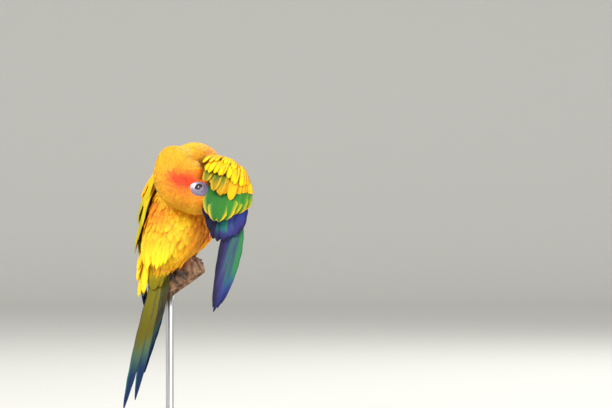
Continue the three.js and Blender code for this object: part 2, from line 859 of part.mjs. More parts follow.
const perchGrown = perch(GAP);
const tailGrown = tailForm(GAP);
const flankGrown = flank(GAP);
const torsoSolid = largest(join(clear(torso(), perchGrown), clear(flank(), tailGrown, perchGrown)));
const torsoGrown = torso(GAP);
const neckGrown = neckForm(GAP);
const eyesGrown = join(eyeBall(1, GAP), eyeBall(-1, GAP));
const billsGrown = join(billForm(BILL_UPPER, GAP), billForm(BILL_LOWER, GAP));
const headGrown = join(headWithLids(GAP), eyesGrown, billsGrown);
const trunk = join(torsoGrown, neckGrown, headGrown);
const featherRoom = join(torso(FEATHER_CLEAR, 16, 9), tube(NECK_RISE, 12, 6, FEATHER_CLEAR), headGrown);

/** A wing: its arm close against the body, its feathers a little further off it. */
function wing(arm, tiers, ...others) {
  const vanes = clear(join(...tiers.flatMap(tierVanes)), featherRoom, ...others);
  return largest(join(clear(tube(arm, 10, 9), trunk), vanes));
}

const legs = ['right', 'left'].map((side) => ({
  side,
  solid: largest(clear(leg(side), torsoGrown, perchGrown, tailGrown, flankGrown)),
}));
const feet = ['right', 'left'].map((side) => ({ side, solid: foot(side, leg(side, GAP)) }));

const YELLOW = { color: 0xf0b400, roughness: 0.85 };
const ORANGE = { color: 0xf57d12, roughness: 0.85 };
const GREEN = { color: 0x3f7a3a, roughness: 0.7 };
const OLIVE = { color: 0x7f7a30, roughness: 0.7 };
const HORN = { color: 0x2b2a2c, roughness: 0.4 };
const SKIN = { color: 0x4a4643, roughness: 0.7 };
const EYE = { color: 0x120c0a, roughness: 0.08 };
const BARK = { color: 0x7a5a45, roughness: 0.9 };
const STAND_WOOD = { color: 0xcdb694, roughness: 0.5 };
const STEEL = { color: 0xb8b8ba, roughness: 0.3, metalness: 1 };

const group = new THREE.Group();

/** Adds one named sub-part with its own material. */
function addNode(name, solid, finish) {
  const geometry = geometryOf(solid);
  geometry.computeVertexNormals();
  const mesh = new THREE.Mesh(geometry, new THREE.MeshStandardMaterial(finish));
  mesh.name = name;
  group.add(mesh);
}

addNode('stand_base', standBase(), STAND_WOOD);
addNode('stand_rod', standRod(perchGrown), STEEL);
addNode('perch', perch(), BARK);
addNode('torso', torsoSolid, YELLOW);
addNode('neck', largest(clear(neckForm(), torsoGrown, headGrown)), YELLOW);
addNode('head', largest(clear(headWithLids(), eyesGrown)), ORANGE);
addNode('eye_left', eyeBall(1), EYE);
addNode('eye_right', eyeBall(-1), EYE);
addNode('bill_upper', billUpper(), HORN);
addNode('bill_lower', billLower(), HORN);
addNode('wing_right', wing(rightArm, rightTiers), GREEN);
const leftNeighbours = [tailGrown, flankGrown, leg('left', GAP), perchGrown];
addNode('wing_left', wing(leftArm, leftTiers, ...leftNeighbours), GREEN);
addNode('tail', largest(clear(tailForm(), torsoGrown)), OLIVE);
legs.forEach(({ side, solid }) => addNode(`leg_${side}`, solid, ORANGE));
feet.forEach(({ side, solid }) => addNode(`foot_${side}`, solid, SKIN));

export default group;
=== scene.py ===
"""Looks of a sun conure, a life-size still model on a stub of branch and a plain display stand.

The bird is seen from behind. It has turned its head over its right shoulder, crown down, and
reaches with its bill under the drooping right wing. All sizes are in millimetres in the same
frame as the solids (+Z up, the main view looks along +Y), and meshes are made in metres.
"""
import logging
import math
from dataclasses import dataclass, field
from enum import Enum, auto

import bpy
import numpy as np
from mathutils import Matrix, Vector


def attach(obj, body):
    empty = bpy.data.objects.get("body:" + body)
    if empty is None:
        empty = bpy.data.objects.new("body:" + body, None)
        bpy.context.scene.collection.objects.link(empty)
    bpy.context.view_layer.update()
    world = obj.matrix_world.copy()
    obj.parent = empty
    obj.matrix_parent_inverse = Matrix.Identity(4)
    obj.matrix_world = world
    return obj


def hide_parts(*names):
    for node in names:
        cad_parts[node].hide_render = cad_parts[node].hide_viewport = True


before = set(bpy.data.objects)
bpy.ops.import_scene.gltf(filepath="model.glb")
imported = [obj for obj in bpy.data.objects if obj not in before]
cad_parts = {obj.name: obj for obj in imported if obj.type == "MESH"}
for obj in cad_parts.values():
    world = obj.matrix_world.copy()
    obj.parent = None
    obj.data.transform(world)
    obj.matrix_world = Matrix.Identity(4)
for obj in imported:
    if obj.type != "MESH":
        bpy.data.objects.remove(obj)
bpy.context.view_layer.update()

logging.basicConfig(level=logging.INFO, format="%(message)s")
LOG = logging.getLogger("conure")

MM = 0.001
SEED = 7
TAU = 2 * math.pi

Array = np.ndarray


# Small maths


def vec(*numbers: float) -> Array:
    """A point or direction as an array."""
    return np.array(numbers, float)


def unit(vectors: Array) -> Array:
    """Vectors scaled to length 1 along the last axis."""
    return vectors / np.maximum(np.linalg.norm(vectors, axis=-1, keepdims=True), 1e-9)


def dot(first: Array, second: Array) -> Array:
    """Dot products along the last axis, kept as a column."""
    return np.sum(first * second, axis=-1, keepdims=True)


def ease(values: Array, low: float, high: float) -> Array:
    """A smooth step from 0 at low to 1 at high, as 3t^2 - 2t^3."""
    t = np.clip((np.asarray(values, float) - low) / (high - low), 0, 1)
    return t * t * (3 - 2 * t)


def spline(rows: Array, shares: Array) -> Array:
    """A curve through rows of numbers: a uniform Catmull-Rom cubic between neighbours.

    Args:
        rows: one row of numbers for each knot, evenly spaced from share 0 to share 1.
        shares: where to take the curve.
    Returns:
        One row for each share.
    """
    rows = np.asarray(rows, float)
    padded = np.vstack([2 * rows[0] - rows[1], rows, 2 * rows[-1] - rows[-2]])
    spot = np.clip(np.asarray(shares, float), 0, 1) * (len(rows) - 1)
    knot = np.minimum(spot.astype(int), len(rows) - 2)
    t = (spot - knot)[:, None]
    a, b, c, d = (padded[knot + i] for i in range(4))
    return 0.5 * (2 * b + (c - a) * t + (2 * a - 5 * b + 4 * c - d) * t**2 + (3 * b - a - 3 * c + d) * t**3)


def linear(code: str) -> Array:
    """An sRGB hex colour as linear light: ((s + 0.055) / 1.055)^2.4 over the toe, s / 12.92 in it."""
    s = np.array([int(code[i:i + 2], 16) for i in (1, 3, 5)]) / 255
    return np.where(s <= 0.04045, s / 12.92, ((s + 0.055) / 1.055) ** 2.4)


def closed_ring_quads(index: Array) -> Array:
    """Quads between neighbouring rows of a grid that closes on itself sideways.

    Args:
        index: vertex numbers, rows by sides, or such grids in a row of their own.
    Returns:
        Rows of four vertex numbers.
    """
    after = np.roll(index, -1, axis=-1)
    corners = [index[..., :-1, :], after[..., :-1, :], after[..., 1:, :], index[..., 1:, :]]
    return np.stack(corners, axis=-1).reshape(-1, 4)


def in_cell(own: Array) -> Array:
    """A map with a margin of 5 % on each side."""
    return own * 0.9 + 0.05


# Frames and sizes


@dataclass(frozen=True)
class Frame:
    """A place with three directions, for points given in a body part's own terms."""

    origin: Array
    first: Array
    second: Array
    third: Array

    def at(self, a: Array, b: Array, c: Array) -> Array:
        """World points in mm from distances along the first, second and third direction."""
        a, b, c = (part[..., None] for part in np.broadcast_arrays(np.asarray(a, float), b, c))
        return self.origin + a * self.first + b * self.second + c * self.third

    def of(self, points: Array) -> Array:
        """Distances of world points along the three directions, one row for each point."""
        return (points - self.origin) @ np.stack([self.first, self.second, self.third]).T


HEADING = math.radians(30)
PITCH = math.radians(58)
FORWARD = vec(math.sin(HEADING) * math.cos(PITCH), math.cos(HEADING) * math.cos(PITCH), math.sin(PITCH))
RIGHT = vec(math.cos(HEADING), -math.sin(HEADING), 0)
DORSAL = np.cross(RIGHT, FORWARD)
BODY = Frame(vec(-17, 0, 122), FORWARD, RIGHT, DORSAL)  # forward from the tail's root, right, back

HEAD_LEFT = unit(vec(-0.231, -0.788, 0.571))
HEAD_AIM = vec(0.898, 0.054, 0.437)
HEAD_FORWARD = unit(HEAD_AIM - HEAD_LEFT * np.dot(HEAD_AIM, HEAD_LEFT))
HEAD = Frame(vec(9.9, -11.6, 175.5), HEAD_FORWARD, HEAD_LEFT, np.cross(HEAD_FORWARD, HEAD_LEFT))

TORSO_ROWS = [
    [-4, 6.5, 7, 3], [4, 11.5, 12.5, 4.5], [14, 18.8, 18, 7.5], [29, 25, 21, 14], [46, 26.3, 21.5, 23],
    [62, 24.5, 21.5, 27], [76, 22, 20, 25], [88, 16.5, 16, 19.5], [95, 9, 9, 11],
]
LEAN = 1.2
HEAD_ROWS = [
    [-14, 6, 6, 6], [-9, 11, 11.5, 11], [-2, 13.4, 14.6, 13.4], [4, 12.8, 14, 13], [9.5, 10.2, 10.8, 11],
    [13.5, 7, 7, 7.6],
]
NECK_RISE = [
    [9, 37, 186, 14], [12, 28, 199, 15], [5, 13, 203, 14], [-3.5, 3, 200.5, 12.2], [-10, -5, 193.5, 14],
]
NECK_HOOK = [[-7.6, -3, 201.6, 14.2], [-10, -8.5, 190.5, 14.4], [-6, -12, 180.5, 14], [2, -12.2, 177, 13.6]]
THROAT = [[-6, -7, 192, 13], [6, -8, 190.5, 12]]
RIGHT_ARM = [
    [17, 25, 192, 5], [24, 13, 197, 4.6], [32, 3, 196.5, 4.4], [39, -5, 191, 4.2], [42, -13, 181, 3.6],
    [42, -20, 167, 3], [41, -27, 152, 2],
]
LEFT_ARM_BODY = [
    [76, -15, 6, 5], [86, -18, 3, 4.6], [88, -19.5, -6, 4.4], [76, -23, -9, 3.6], [60, -25, -9, 3],
    [46, -26, -8, 2],
]
LEFT_ARM = [[*BODY.at(*row[:3]), row[3]] for row in LEFT_ARM_BODY]

EYE_AT = vec(3.4, 9.4, 2.2)
EYE_RADIUS = 3.9

PERCH_LOW = vec(-28, 30, 96)
PERCH_TOP = vec(10.3, 10, 127)
PERCH_LENGTH = float(np.linalg.norm(PERCH_TOP - PERCH_LOW))
PERCH_AXIS = unit(PERCH_TOP - PERCH_LOW)
PERCH_UP = unit(vec(0, 0, 1) - PERCH_AXIS * PERCH_AXIS[2])
PERCH_SIDE = np.cross(PERCH_AXIS, PERCH_UP)
PERCH_RADIUS = 7.4
PERCH_RIDGE = 0.7

FOOT_SHARES = {"right": 0.66, "left": 0.22}  # where the feet stand, as shares of the perch's length
TOE_RADIUS = 1.75
SHANK_RADIUS = 2.3
TOE_LIFT = 0.45


def perch_radius(share: Array, turn: Array) -> Array:
    """The perch's radius by length and angle: it swells to the broken end and has 3 and 7 long ridges."""
    ridges = PERCH_RIDGE * (0.6 * np.sin(3 * turn + 5 * share) + 0.4 * np.sin(7 * turn - 4 * share))
    return PERCH_RADIUS * (0.94 + 0.14 * share**3) + ridges


def on_perch(share: Array, turn: Array, over: Array = 0.0) -> Array:
    """Points round the perch.

    Args:
        share: of the length from the low end.
        turn: the angle from its top towards the bird's front.
        over: height over the bark.
    Returns:
        Points in mm.
    """
    share, turn, over = np.broadcast_arrays(np.asarray(share, float), turn, over)
    radius = perch_radius(share, turn) + over
    return (
        PERCH_LOW + (share * PERCH_LENGTH)[..., None] * PERCH_AXIS
        + (radius * np.cos(turn))[..., None] * PERCH_UP + (radius * np.sin(turn))[..., None] * PERCH_SIDE
    )


# Meshes


def paint_mesh(mesh: bpy.types.Mesh, colour: Array) -> None:
    """Stores colours as the mesh's Plumage attribute.

    Args:
        mesh: to paint.
        colour: linear, one row for each vertex.
    """
    layer = mesh.attributes.new("Plumage", "FLOAT_COLOR", "POINT")
    opaque = np.pad(colour, ((0, 0), (0, 1)), constant_values=1)
    layer.data.foreach_set("color", opaque.astype(np.float32).ravel())


@dataclass
class Shape:
    """Vertices in mm with faces, and one UV pair and one colour for each vertex where it has them."""

    points: Array
    quads: Array
    caps: list[Array] = field(default_factory=list)
    own_uv: Array | None = None
    bake_uv: Array | None = None
    colour: Array | None = None
    rim: Array | None = None  # True at the points of a vane's two edges, which stay crisp

    @staticmethod
    def join(shapes: list["Shape"]) -> "Shape":
        """Several shapes as one.

        Args:
            shapes: all with the same kinds of data.
        Returns:
            One shape that holds them all.
        """
        starts = np.cumsum([0] + [len(s.points) for s in shapes[:-1]])

        def stacked(name: str) -> Array | None:
            """One kind of data of all the shapes, or None where they have none."""
            parts = [getattr(s, name) for s in shapes]
            return None if parts[0] is None else np.concatenate(parts)

        return Shape(
            stacked("points"),
            np.concatenate([s.quads + start for s, start in zip(shapes, starts)]),
            [cap + start for s, start in zip(shapes, starts) for cap in s.caps],
            stacked("own_uv"), stacked("bake_uv"), stacked("colour"), stacked("rim"),
        )

    def mesh(self, name: str) -> bpy.types.Mesh:
        """The Blender mesh of the shape.

        Args:
            name: of the mesh.
        Returns:
            A mesh in metres, smooth, with its UV maps and its Plumage colours.
        """
        polygons = [self.quads, *self.caps]
        loops = np.concatenate([p.ravel() for p in polygons]).astype(np.int32)
        sizes = np.concatenate([np.full(len(p), p.shape[1]) for p in polygons])
        starts = np.concatenate([[0], np.cumsum(sizes)[:-1]]).astype(np.int32)
        made = bpy.data.meshes.new(name)
        made.vertices.add(len(self.points))
        made.vertices.foreach_set("co", (self.points * MM).astype(np.float32).ravel())
        made.loops.add(len(loops))
        made.loops.foreach_set("vertex_index", loops)
        made.polygons.add(len(sizes))
        made.polygons.foreach_set("loop_start", starts)
        made.update(calc_edges=True)
        made.shade_smooth()
        if self.rim is not None:
            ends = np.empty(2 * len(made.edges), np.int32)
            made.edges.foreach_get("vertices", ends)
            crisp = made.attributes.new("sharp_edge", "BOOLEAN", "EDGE")
            crisp.data.foreach_set("value", self.rim[ends].reshape(-1, 2).all(axis=1))
        for label, values in (("OFBake", self.bake_uv), ("Own", self.own_uv)):
            if values is not None:
                layer = made.uv_layers.new(name=label)
                layer.data.foreach_set("uv", values[loops].astype(np.float32).ravel())
        if self.colour is not None:
            paint_mesh(made, self.colour)
        made.validate()
        return made


def lofted(rings: Array) -> Shape:
    """A closed skin over rings of points, with a pole in the middle of each end ring.

    Args:
        rings: an array of rings by sides by 3.
    Returns:
        The closed shape with its faces outwards. Its own map has the share round and the share along.
    """
    count, sides, _ = rings.shape
    index = np.arange(count * sides).reshape(count, sides)
    after = np.roll(index, -1, axis=1)
    quads = closed_ring_quads(index)
    first, last = count * sides, count * sides + 1
    caps = np.concatenate([
        np.stack([np.full(sides, first), after[0], index[0]], axis=1),
        np.stack([np.full(sides, last), index[-1], after[-1]], axis=1),
    ])
    every = np.vstack([rings.reshape(-1, 3), rings[0].mean(0), rings[-1].mean(0)])
    a, b, c = (every[quads[:, i]] - every.mean(0) for i in range(3))
    if np.sum(a * np.cross(b, c)) < 0:
        quads, caps = quads[:, ::-1], caps[:, ::-1]
    along = np.repeat(np.linspace(0, 1, count), sides)
    around = np.tile(np.abs(np.linspace(-1, 1, sides, endpoint=False)), count)
    own = np.vstack([np.stack([around, along], axis=1), [[0.5, 0], [0.5, 1]]])
    return Shape(every, quads, [caps], own_uv=own, bake_uv=in_cell(own))


TUBE_DOME = np.radians([80, 50, 22])  # latitudes of the rings that round off an end
TUBE_DOME_DEPTH = 0.9  # of the end's radius
TUBE_LEVEL = vec(0.31, 0.52, 0.79)  # no tube runs along it, so rings can be turned by it
EGG_DOME = np.radians([78, 45, 18])
EGG_DOME_DEPTH = 0.42  # of the end's half width


def tube(stops: list, sides: int, count: int, grow: float = 0.0) -> Array:
    """Rings round a spline through stops, with domed ends.

    Args:
        stops: rows of x, y, z, radius.
        sides: points in a ring.
        count: rings between the ends.
        grow: added to each radius.
    Returns:
        Rings by sides by 3, each ring level across its path.
    """
    rows = spline(stops, np.linspace(0, 1, count))
    path, radius = rows[:, :3], rows[:, 3] + grow
    way = unit(np.gradient(path, axis=0))
    turn = TUBE_DOME
    start = path[0] - way[0] * (radius[0] * np.sin(turn) * TUBE_DOME_DEPTH)[:, None]
    end = path[-1] + way[-1] * (radius[-1] * np.sin(turn[::-1]) * TUBE_DOME_DEPTH)[:, None]
    path = np.vstack([start, path, end])
    way = np.vstack([np.repeat(way[:1], len(turn), 0), way, np.repeat(way[-1:], len(turn), 0)])
    radius = np.concatenate([radius[0] * np.cos(turn), radius, radius[-1] * np.cos(turn[::-1])])
    level = unit(np.cross(way, unit(TUBE_LEVEL)))
    other = np.cross(way, level)
    angle = np.linspace(0, TAU, sides, endpoint=False)[None, :, None]
    ring = np.cos(angle) * level[:, None] + np.sin(angle) * other[:, None]
    return path[:, None] + radius[:, None, None] * ring


def egg(rows: list, place: Frame, sides: int, count: int, grow: float, shift: float = 0.0) -> Array:
    """Rings of an egg-like body whose half width, height and depth follow splines along its axis.

    Args:
        rows: distance, half width, height and depth.
        place: the frame in which the first direction is the axis.
        sides: points in a ring.
        count: rings.
        grow: added to the half sizes.
        shift: of the axis along the second direction.
    Returns:
        Rings by sides by 3.
    """
    at, wide, high, deep = spline(rows, np.linspace(0, 1, count)).T
    turn = EGG_DOME
    start = at[0] - (EGG_DOME_DEPTH * wide[0] + grow) * np.sin(turn)
    end = at[-1] + (EGG_DOME_DEPTH * wide[-1] + grow) * np.sin(turn[::-1])
    at = np.concatenate([start, at, end])
    fade = np.concatenate([np.cos(turn), np.ones(count), np.cos(turn[::-1])])
    wide, high, deep = (np.pad(half, len(turn), "edge") + grow for half in (wide, high, deep))
    angle = np.linspace(0, TAU, sides, endpoint=False)[None]
    rise = np.sin(angle)
    reach = np.where(rise > 0, high[:, None], deep[:, None]) * rise * fade[:, None]
    across = (wide * fade)[:, None] * np.cos(angle) + shift
    return place.at(np.broadcast_to(at[:, None], across.shape), across, reach)


# Feathers


@dataclass(frozen=True)
class Outline:
    """Half width of a feather at shares of its length, as parts of its widest."""

    shares: tuple[float, ...]
    parts: tuple[float, ...]

    def at(self, shares: Array) -> Array:
        """Half widths at shares of the length, by straight lines between the stations."""
        return np.interp(shares, self.shares, self.parts)


BODY_OUTLINE = Outline((0, 0.2, 0.45, 0.7, 0.87, 0.96, 1), (0.3, 0.72, 0.98, 1, 0.78, 0.45, 0.1))
BLUNT = Outline((0, 0.12, 0.35, 0.7, 0.85, 0.93, 0.98, 1), (0.35, 0.75, 1, 1, 0.86, 0.62, 0.3, 0.08))
POINTED = Outline((0, 0.12, 0.35, 0.6, 0.8, 0.92, 0.98, 1), (0.3, 0.72, 1, 0.93, 0.68, 0.4, 0.17, 0.05))


SHAFT_WIDTH = 0.12  # of the shaft's ridge, as a part of the half width


@dataclass
class Vanes:
    """Many feathers of one kind, as arrays with one row for each."""

    centre: Array  # feathers by stations by 3: the line of the shaft
    face: Array  # feathers by stations by 3: out of the vane
    half: Array  # feathers by stations: half width
    arch: float = 0.25  # rise of the shaft over the edges, as a part of the half width
    thick: float = 0.22
    columns: int = 5
    shaft: float = 0.0  # height of the shaft's ridge

    def shape(self) -> tuple[Shape, Array, Array]:
        """The closed blades: a cross-section of an arch over a parallel one, joined at the edges.

        Returns:
            The shape, and for each of its vertices the place across (-1 to 1) and along (0 to 1).
        """
        count, stations, _ = self.centre.shape
        way = unit(np.gradient(self.centre, axis=1))
        flat = unit(self.face - way * dot(self.face, way))
        across = np.cross(way, flat)
        spots = np.linspace(-1, 1, self.columns)
        ring = np.concatenate([spots, spots[1:-1][::-1]])
        upper = np.concatenate([np.ones(self.columns), np.zeros(self.columns - 2)])
        ridge = self.shaft * np.exp(-((ring / SHAFT_WIDTH) ** 2))
        rise = self.half[..., None] * self.arch * (1 - ring**2) + ridge * upper
        rise = rise - (1 - upper) * self.thick
        points = (
            self.centre[:, :, None]
            + across[:, :, None] * (self.half[..., None] * ring)[..., None]
            + flat[:, :, None] * rise[..., None]
        )
        index = np.arange(count * stations * len(ring)).reshape(count, stations, len(ring))
        place = np.broadcast_to(ring, index.shape).ravel()
        along = np.broadcast_to(np.linspace(0, 1, stations)[None, :, None], index.shape).ravel()
        ends = [index[:, 0, ::-1], index[:, -1]]
        made = Shape(points.reshape(-1, 3), closed_ring_quads(index), ends)
        made.own_uv = np.stack([place * 0.5 + 0.5, along], axis=1)
        made.rim = np.abs(place) > 0.99
        return made, place, along


def curved(root: Array, middle: Array, tip: Array, stations: int) -> Array:
    """Shaft lines as (1-s)^2 root + 2s(1-s) middle + s^2 tip: feathers by stations by 3."""
    s = np.linspace(0, 1, stations)[None, :, None]
    return (1 - s) ** 2 * root[:, None] + 2 * s * (1 - s) * middle[:, None] + s**2 * tip[:, None]


# Plumage colours


class Paint(Enum):
    """The bird's colours, as hex codes of real plumage and skin in daylight, and of painted highlight and
    shade.
    """

    GOLD = "#FFA800"
    BRIGHT = "#FFC400"
    AMBER = "#FF7800"
    FLAME = "#F23A06"
    RUST = "#C25A0A"
    GREEN = "#2E6F26"
    LIME = "#A8A010"
    DEEP_GREEN = "#1B3A16"
    TEAL = "#175C55"
    BLUE = "#243480"
    VIOLET = "#322C58"
    INK = "#15142A"
    OLIVE = "#514A08"
    SEA = "#0B2044"
    RING = "#82778C"
    RING_SHADE = "#5F546C"
    RING_HIGHLIGHT = "#E4DEE6"
    RING_CREASE_SHADE = "#4E4258"
    LID_SHADE = "#2C2528"
    PUPIL = "#050404"
    IRIS = "#26150D"
    EYE_BACK = "#1A120E"


def lay(base: Array, *washes: tuple[Paint, Array | float]) -> Array:
    """Lays paints over colours, one after the other: each mixes in by its share m, as c (1 - m) + p m.

    Args:
        base: linear colours, one row for each.
        washes: pairs of a paint and its share, one number for all or one for each colour.
    Returns:
        The mixed linear colours.
    """
    for paint, share in washes:
        part = np.broadcast_to(share, len(base))[:, None]
        base = base * (1 - part) + linear(paint.value) * part
    return base


@dataclass(frozen=True)
class Spot:
    """A soft round mark with its middle and its half sizes, in mm."""

    at: tuple[float, ...]
    size: tuple[float, ...]

    def mask(self, *places: Array) -> Array:
        """Its strength, exp(-(a^2 + b^2 + ...)), with offsets from its middle in half sizes."""
        offsets = ((place - at) / size for place, at, size in zip(places, self.at, self.size))
        return np.exp(-sum(offset**2 for offset in offsets))


@dataclass(frozen=True)
class Chain:
    """A line of places along one part, with the way its feathers lie and its thickness."""

    stops: list
    label: float
    reverse: bool = False

    def samples(self, count: int = 24) -> tuple[Array, Array, Array, Array]:
        """Evenly spaced places on the chain.

        Args:
            count: how many.
        Returns:
            Places, ways the feathers lie, radii, and labels that rise by 1 along the chain.
        """
        rows = spline(self.stops, np.linspace(0, 1, count))
        way = unit(np.gradient(rows[:, :3], axis=0)) * (-1 if self.reverse else 1)
        share = np.linspace(0, 1, count)
        return rows[:, :3], way, rows[:, 3], self.label + (1 - share if self.reverse else share)


HIP_AT = (31, 11, -12)  # forward, to its own side and back, in the body's frame
THIGH_RADII = (8.5, 6, 3.2)  # at the hip, at the knee and at the ankle
KNEE_SHARE = 0.6
ANKLE_BACK = 1.5  # behind the top of the perch


def leg_stops(side: str) -> list:
    """The thigh's line from the hip to the ankle.

    Args:
        side: right or left.
    Returns:
        Rows of x, y, z, radius.
    """
    forward, aside, back = HIP_AT
    hip = BODY.at(forward, aside if side == "right" else -aside, back)
    ankle = on_perch(FOOT_SHARES[side], 0.0, TOE_RADIUS + THIGH_RADII[-1]) - ANKLE_BACK * PERCH_SIDE
    places = (hip, hip + KNEE_SHARE * (ankle - hip), ankle)
    return [[*place, radius] for place, radius in zip(places, THIGH_RADII)]


class Part(Enum):
    """Parts of the body, each with the label at which its chain starts."""

    HEAD = 0.0
    NECK = 1.0
    TORSO = 2.0
    RIGHT_ARM = 4.0
    LEFT_ARM = 6.0
    RIGHT_LEG = 8.0
    LEFT_LEG = 10.0


CHAINS = [
    Chain([[*HEAD.at(15, 0, 0), 9], [*HEAD.at(6, 0, 0), 12], [*HEAD.at(-8, 0, 0), 13]], Part.HEAD.value),
    Chain(NECK_RISE[:-1] + NECK_HOOK[1:], Part.NECK.value, reverse=True),
    Chain([[*BODY.at(row[0], LEAN, 0), 0.5 * (row[1] + row[2])] for row in TORSO_ROWS[:-1]],
          Part.TORSO.value, reverse=True),
    Chain(RIGHT_ARM, Part.RIGHT_ARM.value),
    Chain(LEFT_ARM, Part.LEFT_ARM.value),
    Chain(leg_stops("right"), Part.RIGHT_LEG.value),
    Chain(leg_stops("left"), Part.LEFT_LEG.value),
]


class Lie:
    """Which part a place belongs to, and the way feathers lie there."""

    def __init__(self) -> None:
        """Samples the chains of all the parts."""
        parts = [chain.samples() for chain in CHAINS]
        self.places, self.ways, self.radii, self.labels = (np.concatenate(group) for group in zip(*parts))

    def at(self, points: Array) -> tuple[Array, Array]:
        """Labels and ways by how near each chain is, measured in its own radii.

        Args:
            points: in mm.
        Returns:
            The label of the nearest sample, and a blend of the ways of near ones.
        """
        reach = np.linalg.norm(points[:, None] - self.places[None], axis=2) / self.radii
        near = reach.min(axis=1, keepdims=True)
        weight = np.exp(-10 * (reach**2 - near**2))
        return self.labels[reach.argmin(axis=1)], unit(weight @ self.ways)


CHEEK = Spot((-4, -6), (10.5, 6.6))  # ahead and up in the head's frame
CHEEK_SLANT = 0.3  # how much the red patch climbs towards the eye
CHEEK_GLOW = Spot((-5, -2), (17, 13))
SHOULDER_GLOW = Spot((18, 14, 203), (11, 16, 9))  # in the shared frame
NAPE_GLOW = Spot((-21, 163), (12, 11))  # x and z in the shared frame
TORSO_LABELS = (2.02, 3.2)  # between the shoulders and the tail's root


def of_torso(labels: Array) -> Array:
    """Whether places belong to the torso behind the shoulders."""
    return (labels > TORSO_LABELS[0]) & (labels < TORSO_LABELS[1])


def markings(points: Array, labels: Array) -> Array:
    """The plumage's colour at places on the skin: smooth masks in the frames of head and body.

    Args:
        points: in mm.
        labels: of the part each belongs to.
    Returns:
        Linear colours.
    """
    ahead, side, up = HEAD.of(points).T
    _, right, back = BODY.of(points).T
    x, _, z = points.T
    fore = labels < TORSO_LABELS[1]
    on_head = 1 - ease(labels, 0.9, 1.25)
    on_torso = ease(labels, 1.85, 2.1) * fore
    chest = ease(labels, 1.25, 2.1) * fore
    climbed = up - CHEEK_SLANT * (ahead - CHEEK.at[0])
    cheek = CHEEK.mask(ahead, climbed) * ease(np.abs(side), 2, 7) * (labels < 1.6)
    glow = CHEEK_GLOW.mask(ahead, up) * ease(np.abs(side), 0, 6) * (labels < 1.8)
    under = 1 - ease(back, -9, 3)
    flank = ease(np.abs(right - LEAN), 15, 24)
    return lay(
        np.zeros_like(points),
        (Paint.GOLD, 1.0),
        (Paint.BRIGHT, 0.4 * on_head * (1 - ease(ahead, -20, -6))),
        (Paint.AMBER, 0.95 * on_head * ease(ahead, -9, 3)),
        (Paint.AMBER, 0.95 * glow),
        (Paint.FLAME, np.clip(1.4 * cheek, 0, 1)),
        (Paint.AMBER, chest * np.maximum(0.9 * under, 0.75 * flank)),
        (Paint.RUST, 0.45 * on_torso * flank * under),
        (Paint.BRIGHT, 0.8 * on_torso * (1 - flank) * ease(back, 2, 12)),
        (Paint.AMBER, 0.8 * SHOULDER_GLOW.mask(*points.T) * (labels < 5)),
        (Paint.AMBER, 0.95 * NAPE_GLOW.mask(x, z) * on_torso),
        (Paint.AMBER, 0.7 * (labels >= Part.RIGHT_LEG.value)),
    )


# Materials


@dataclass(frozen=True)
class Finish:
    """A surface's look, from its real material."""

    colour: str
    rough: float
    metal: float = 0.0
    ior: float = 1.5
    coat: float = 0.0
    glow: float = 0.0  # share of light that passes under the surface


FEATHER = Finish("#F3B200", 0.7, ior=1.4, glow=0.6)
VANE = Finish("#2F7A34", 0.8, ior=1.25)
HORN = Finish("#2A2829", 0.36, ior=1.54)
BARE_SKIN = Finish("#DCD6DE", 0.5, ior=1.42)
FOOT_SKIN = Finish("#3C3836", 0.55, ior=1.45)
EYE = Finish("#120B08", 0.06, ior=1.38, coat=1.0)
BARK = Finish("#4E3527", 0.85)
BEECH = Finish("#C9A77C", 0.42)
STEEL = Finish("#BFC0C2", 0.28, metal=1.0)
CERE = Finish("#B9AEB0", 0.5, ior=1.42)
DARK = Finish("#141011", 0.8)
PAPER = Finish("#BDBCB6", 0.9)


def add_node(tree: bpy.types.NodeTree, kind: str, feeds: dict | None = None,
             **settings: object) -> bpy.types.Node:
    """Adds one node and feeds its inputs.

    Args:
        tree: of the material.
        kind: the node's type name.
        feeds: input name or number to the socket that feeds it, or to its plain value.
        settings: attributes of the node.
    Returns:
        The node.
    """
    node = tree.nodes.new(kind)
    for key, value in settings.items():
        setattr(node, key, value)
    for key, source in (feeds or {}).items():
        if isinstance(source, bpy.types.NodeSocket):
            tree.links.new(source, node.inputs[key])
        else:
            node.inputs[key].default_value = source
    return node


SKIN_GLOW_RADIUS = (1.0, 0.55, 0.2)  # how far red, green and blue light spread, as parts of the scale
SKIN_GLOW_SCALE_MM = 2


def base_material(name: str, finish: Finish) -> tuple[bpy.types.Material, bpy.types.Node]:
    """A material with one shader set from a finish.

    Args:
        name: of the material.
        finish: its look.
    Returns:
        The material and its shader node.
    """
    made = bpy.data.materials.new(name)
    made.use_nodes = True
    shader = made.node_tree.nodes["Principled BSDF"]
    looks = {
        "Base Color": (*linear(finish.colour), 1), "Roughness": finish.rough, "Metallic": finish.metal,
        "IOR": finish.ior, "Coat Weight": finish.coat, "Subsurface Weight": finish.glow,
        "Subsurface Radius": SKIN_GLOW_RADIUS, "Subsurface Scale": SKIN_GLOW_SCALE_MM * MM,
    }
    for socket, value in looks.items():
        shader.inputs[socket].default_value = value
    return made, shader


def plumage_colour(tree: bpy.types.NodeTree) -> bpy.types.NodeSocket:
    """The socket that gives the colours painted on the mesh."""
    return add_node(tree, "ShaderNodeAttribute", attribute_name="Plumage").outputs["Color"]


def painted_material(name: str, finish: Finish) -> bpy.types.Material:
    """A finish whose colour is the one painted on the mesh.

    Args:
        name: of the material.
        finish: its look.
    Returns:
        The material.
    """
    made, shader = base_material(name, finish)
    made.node_tree.links.new(plumage_colour(made.node_tree), shader.inputs["Base Color"])
    return made


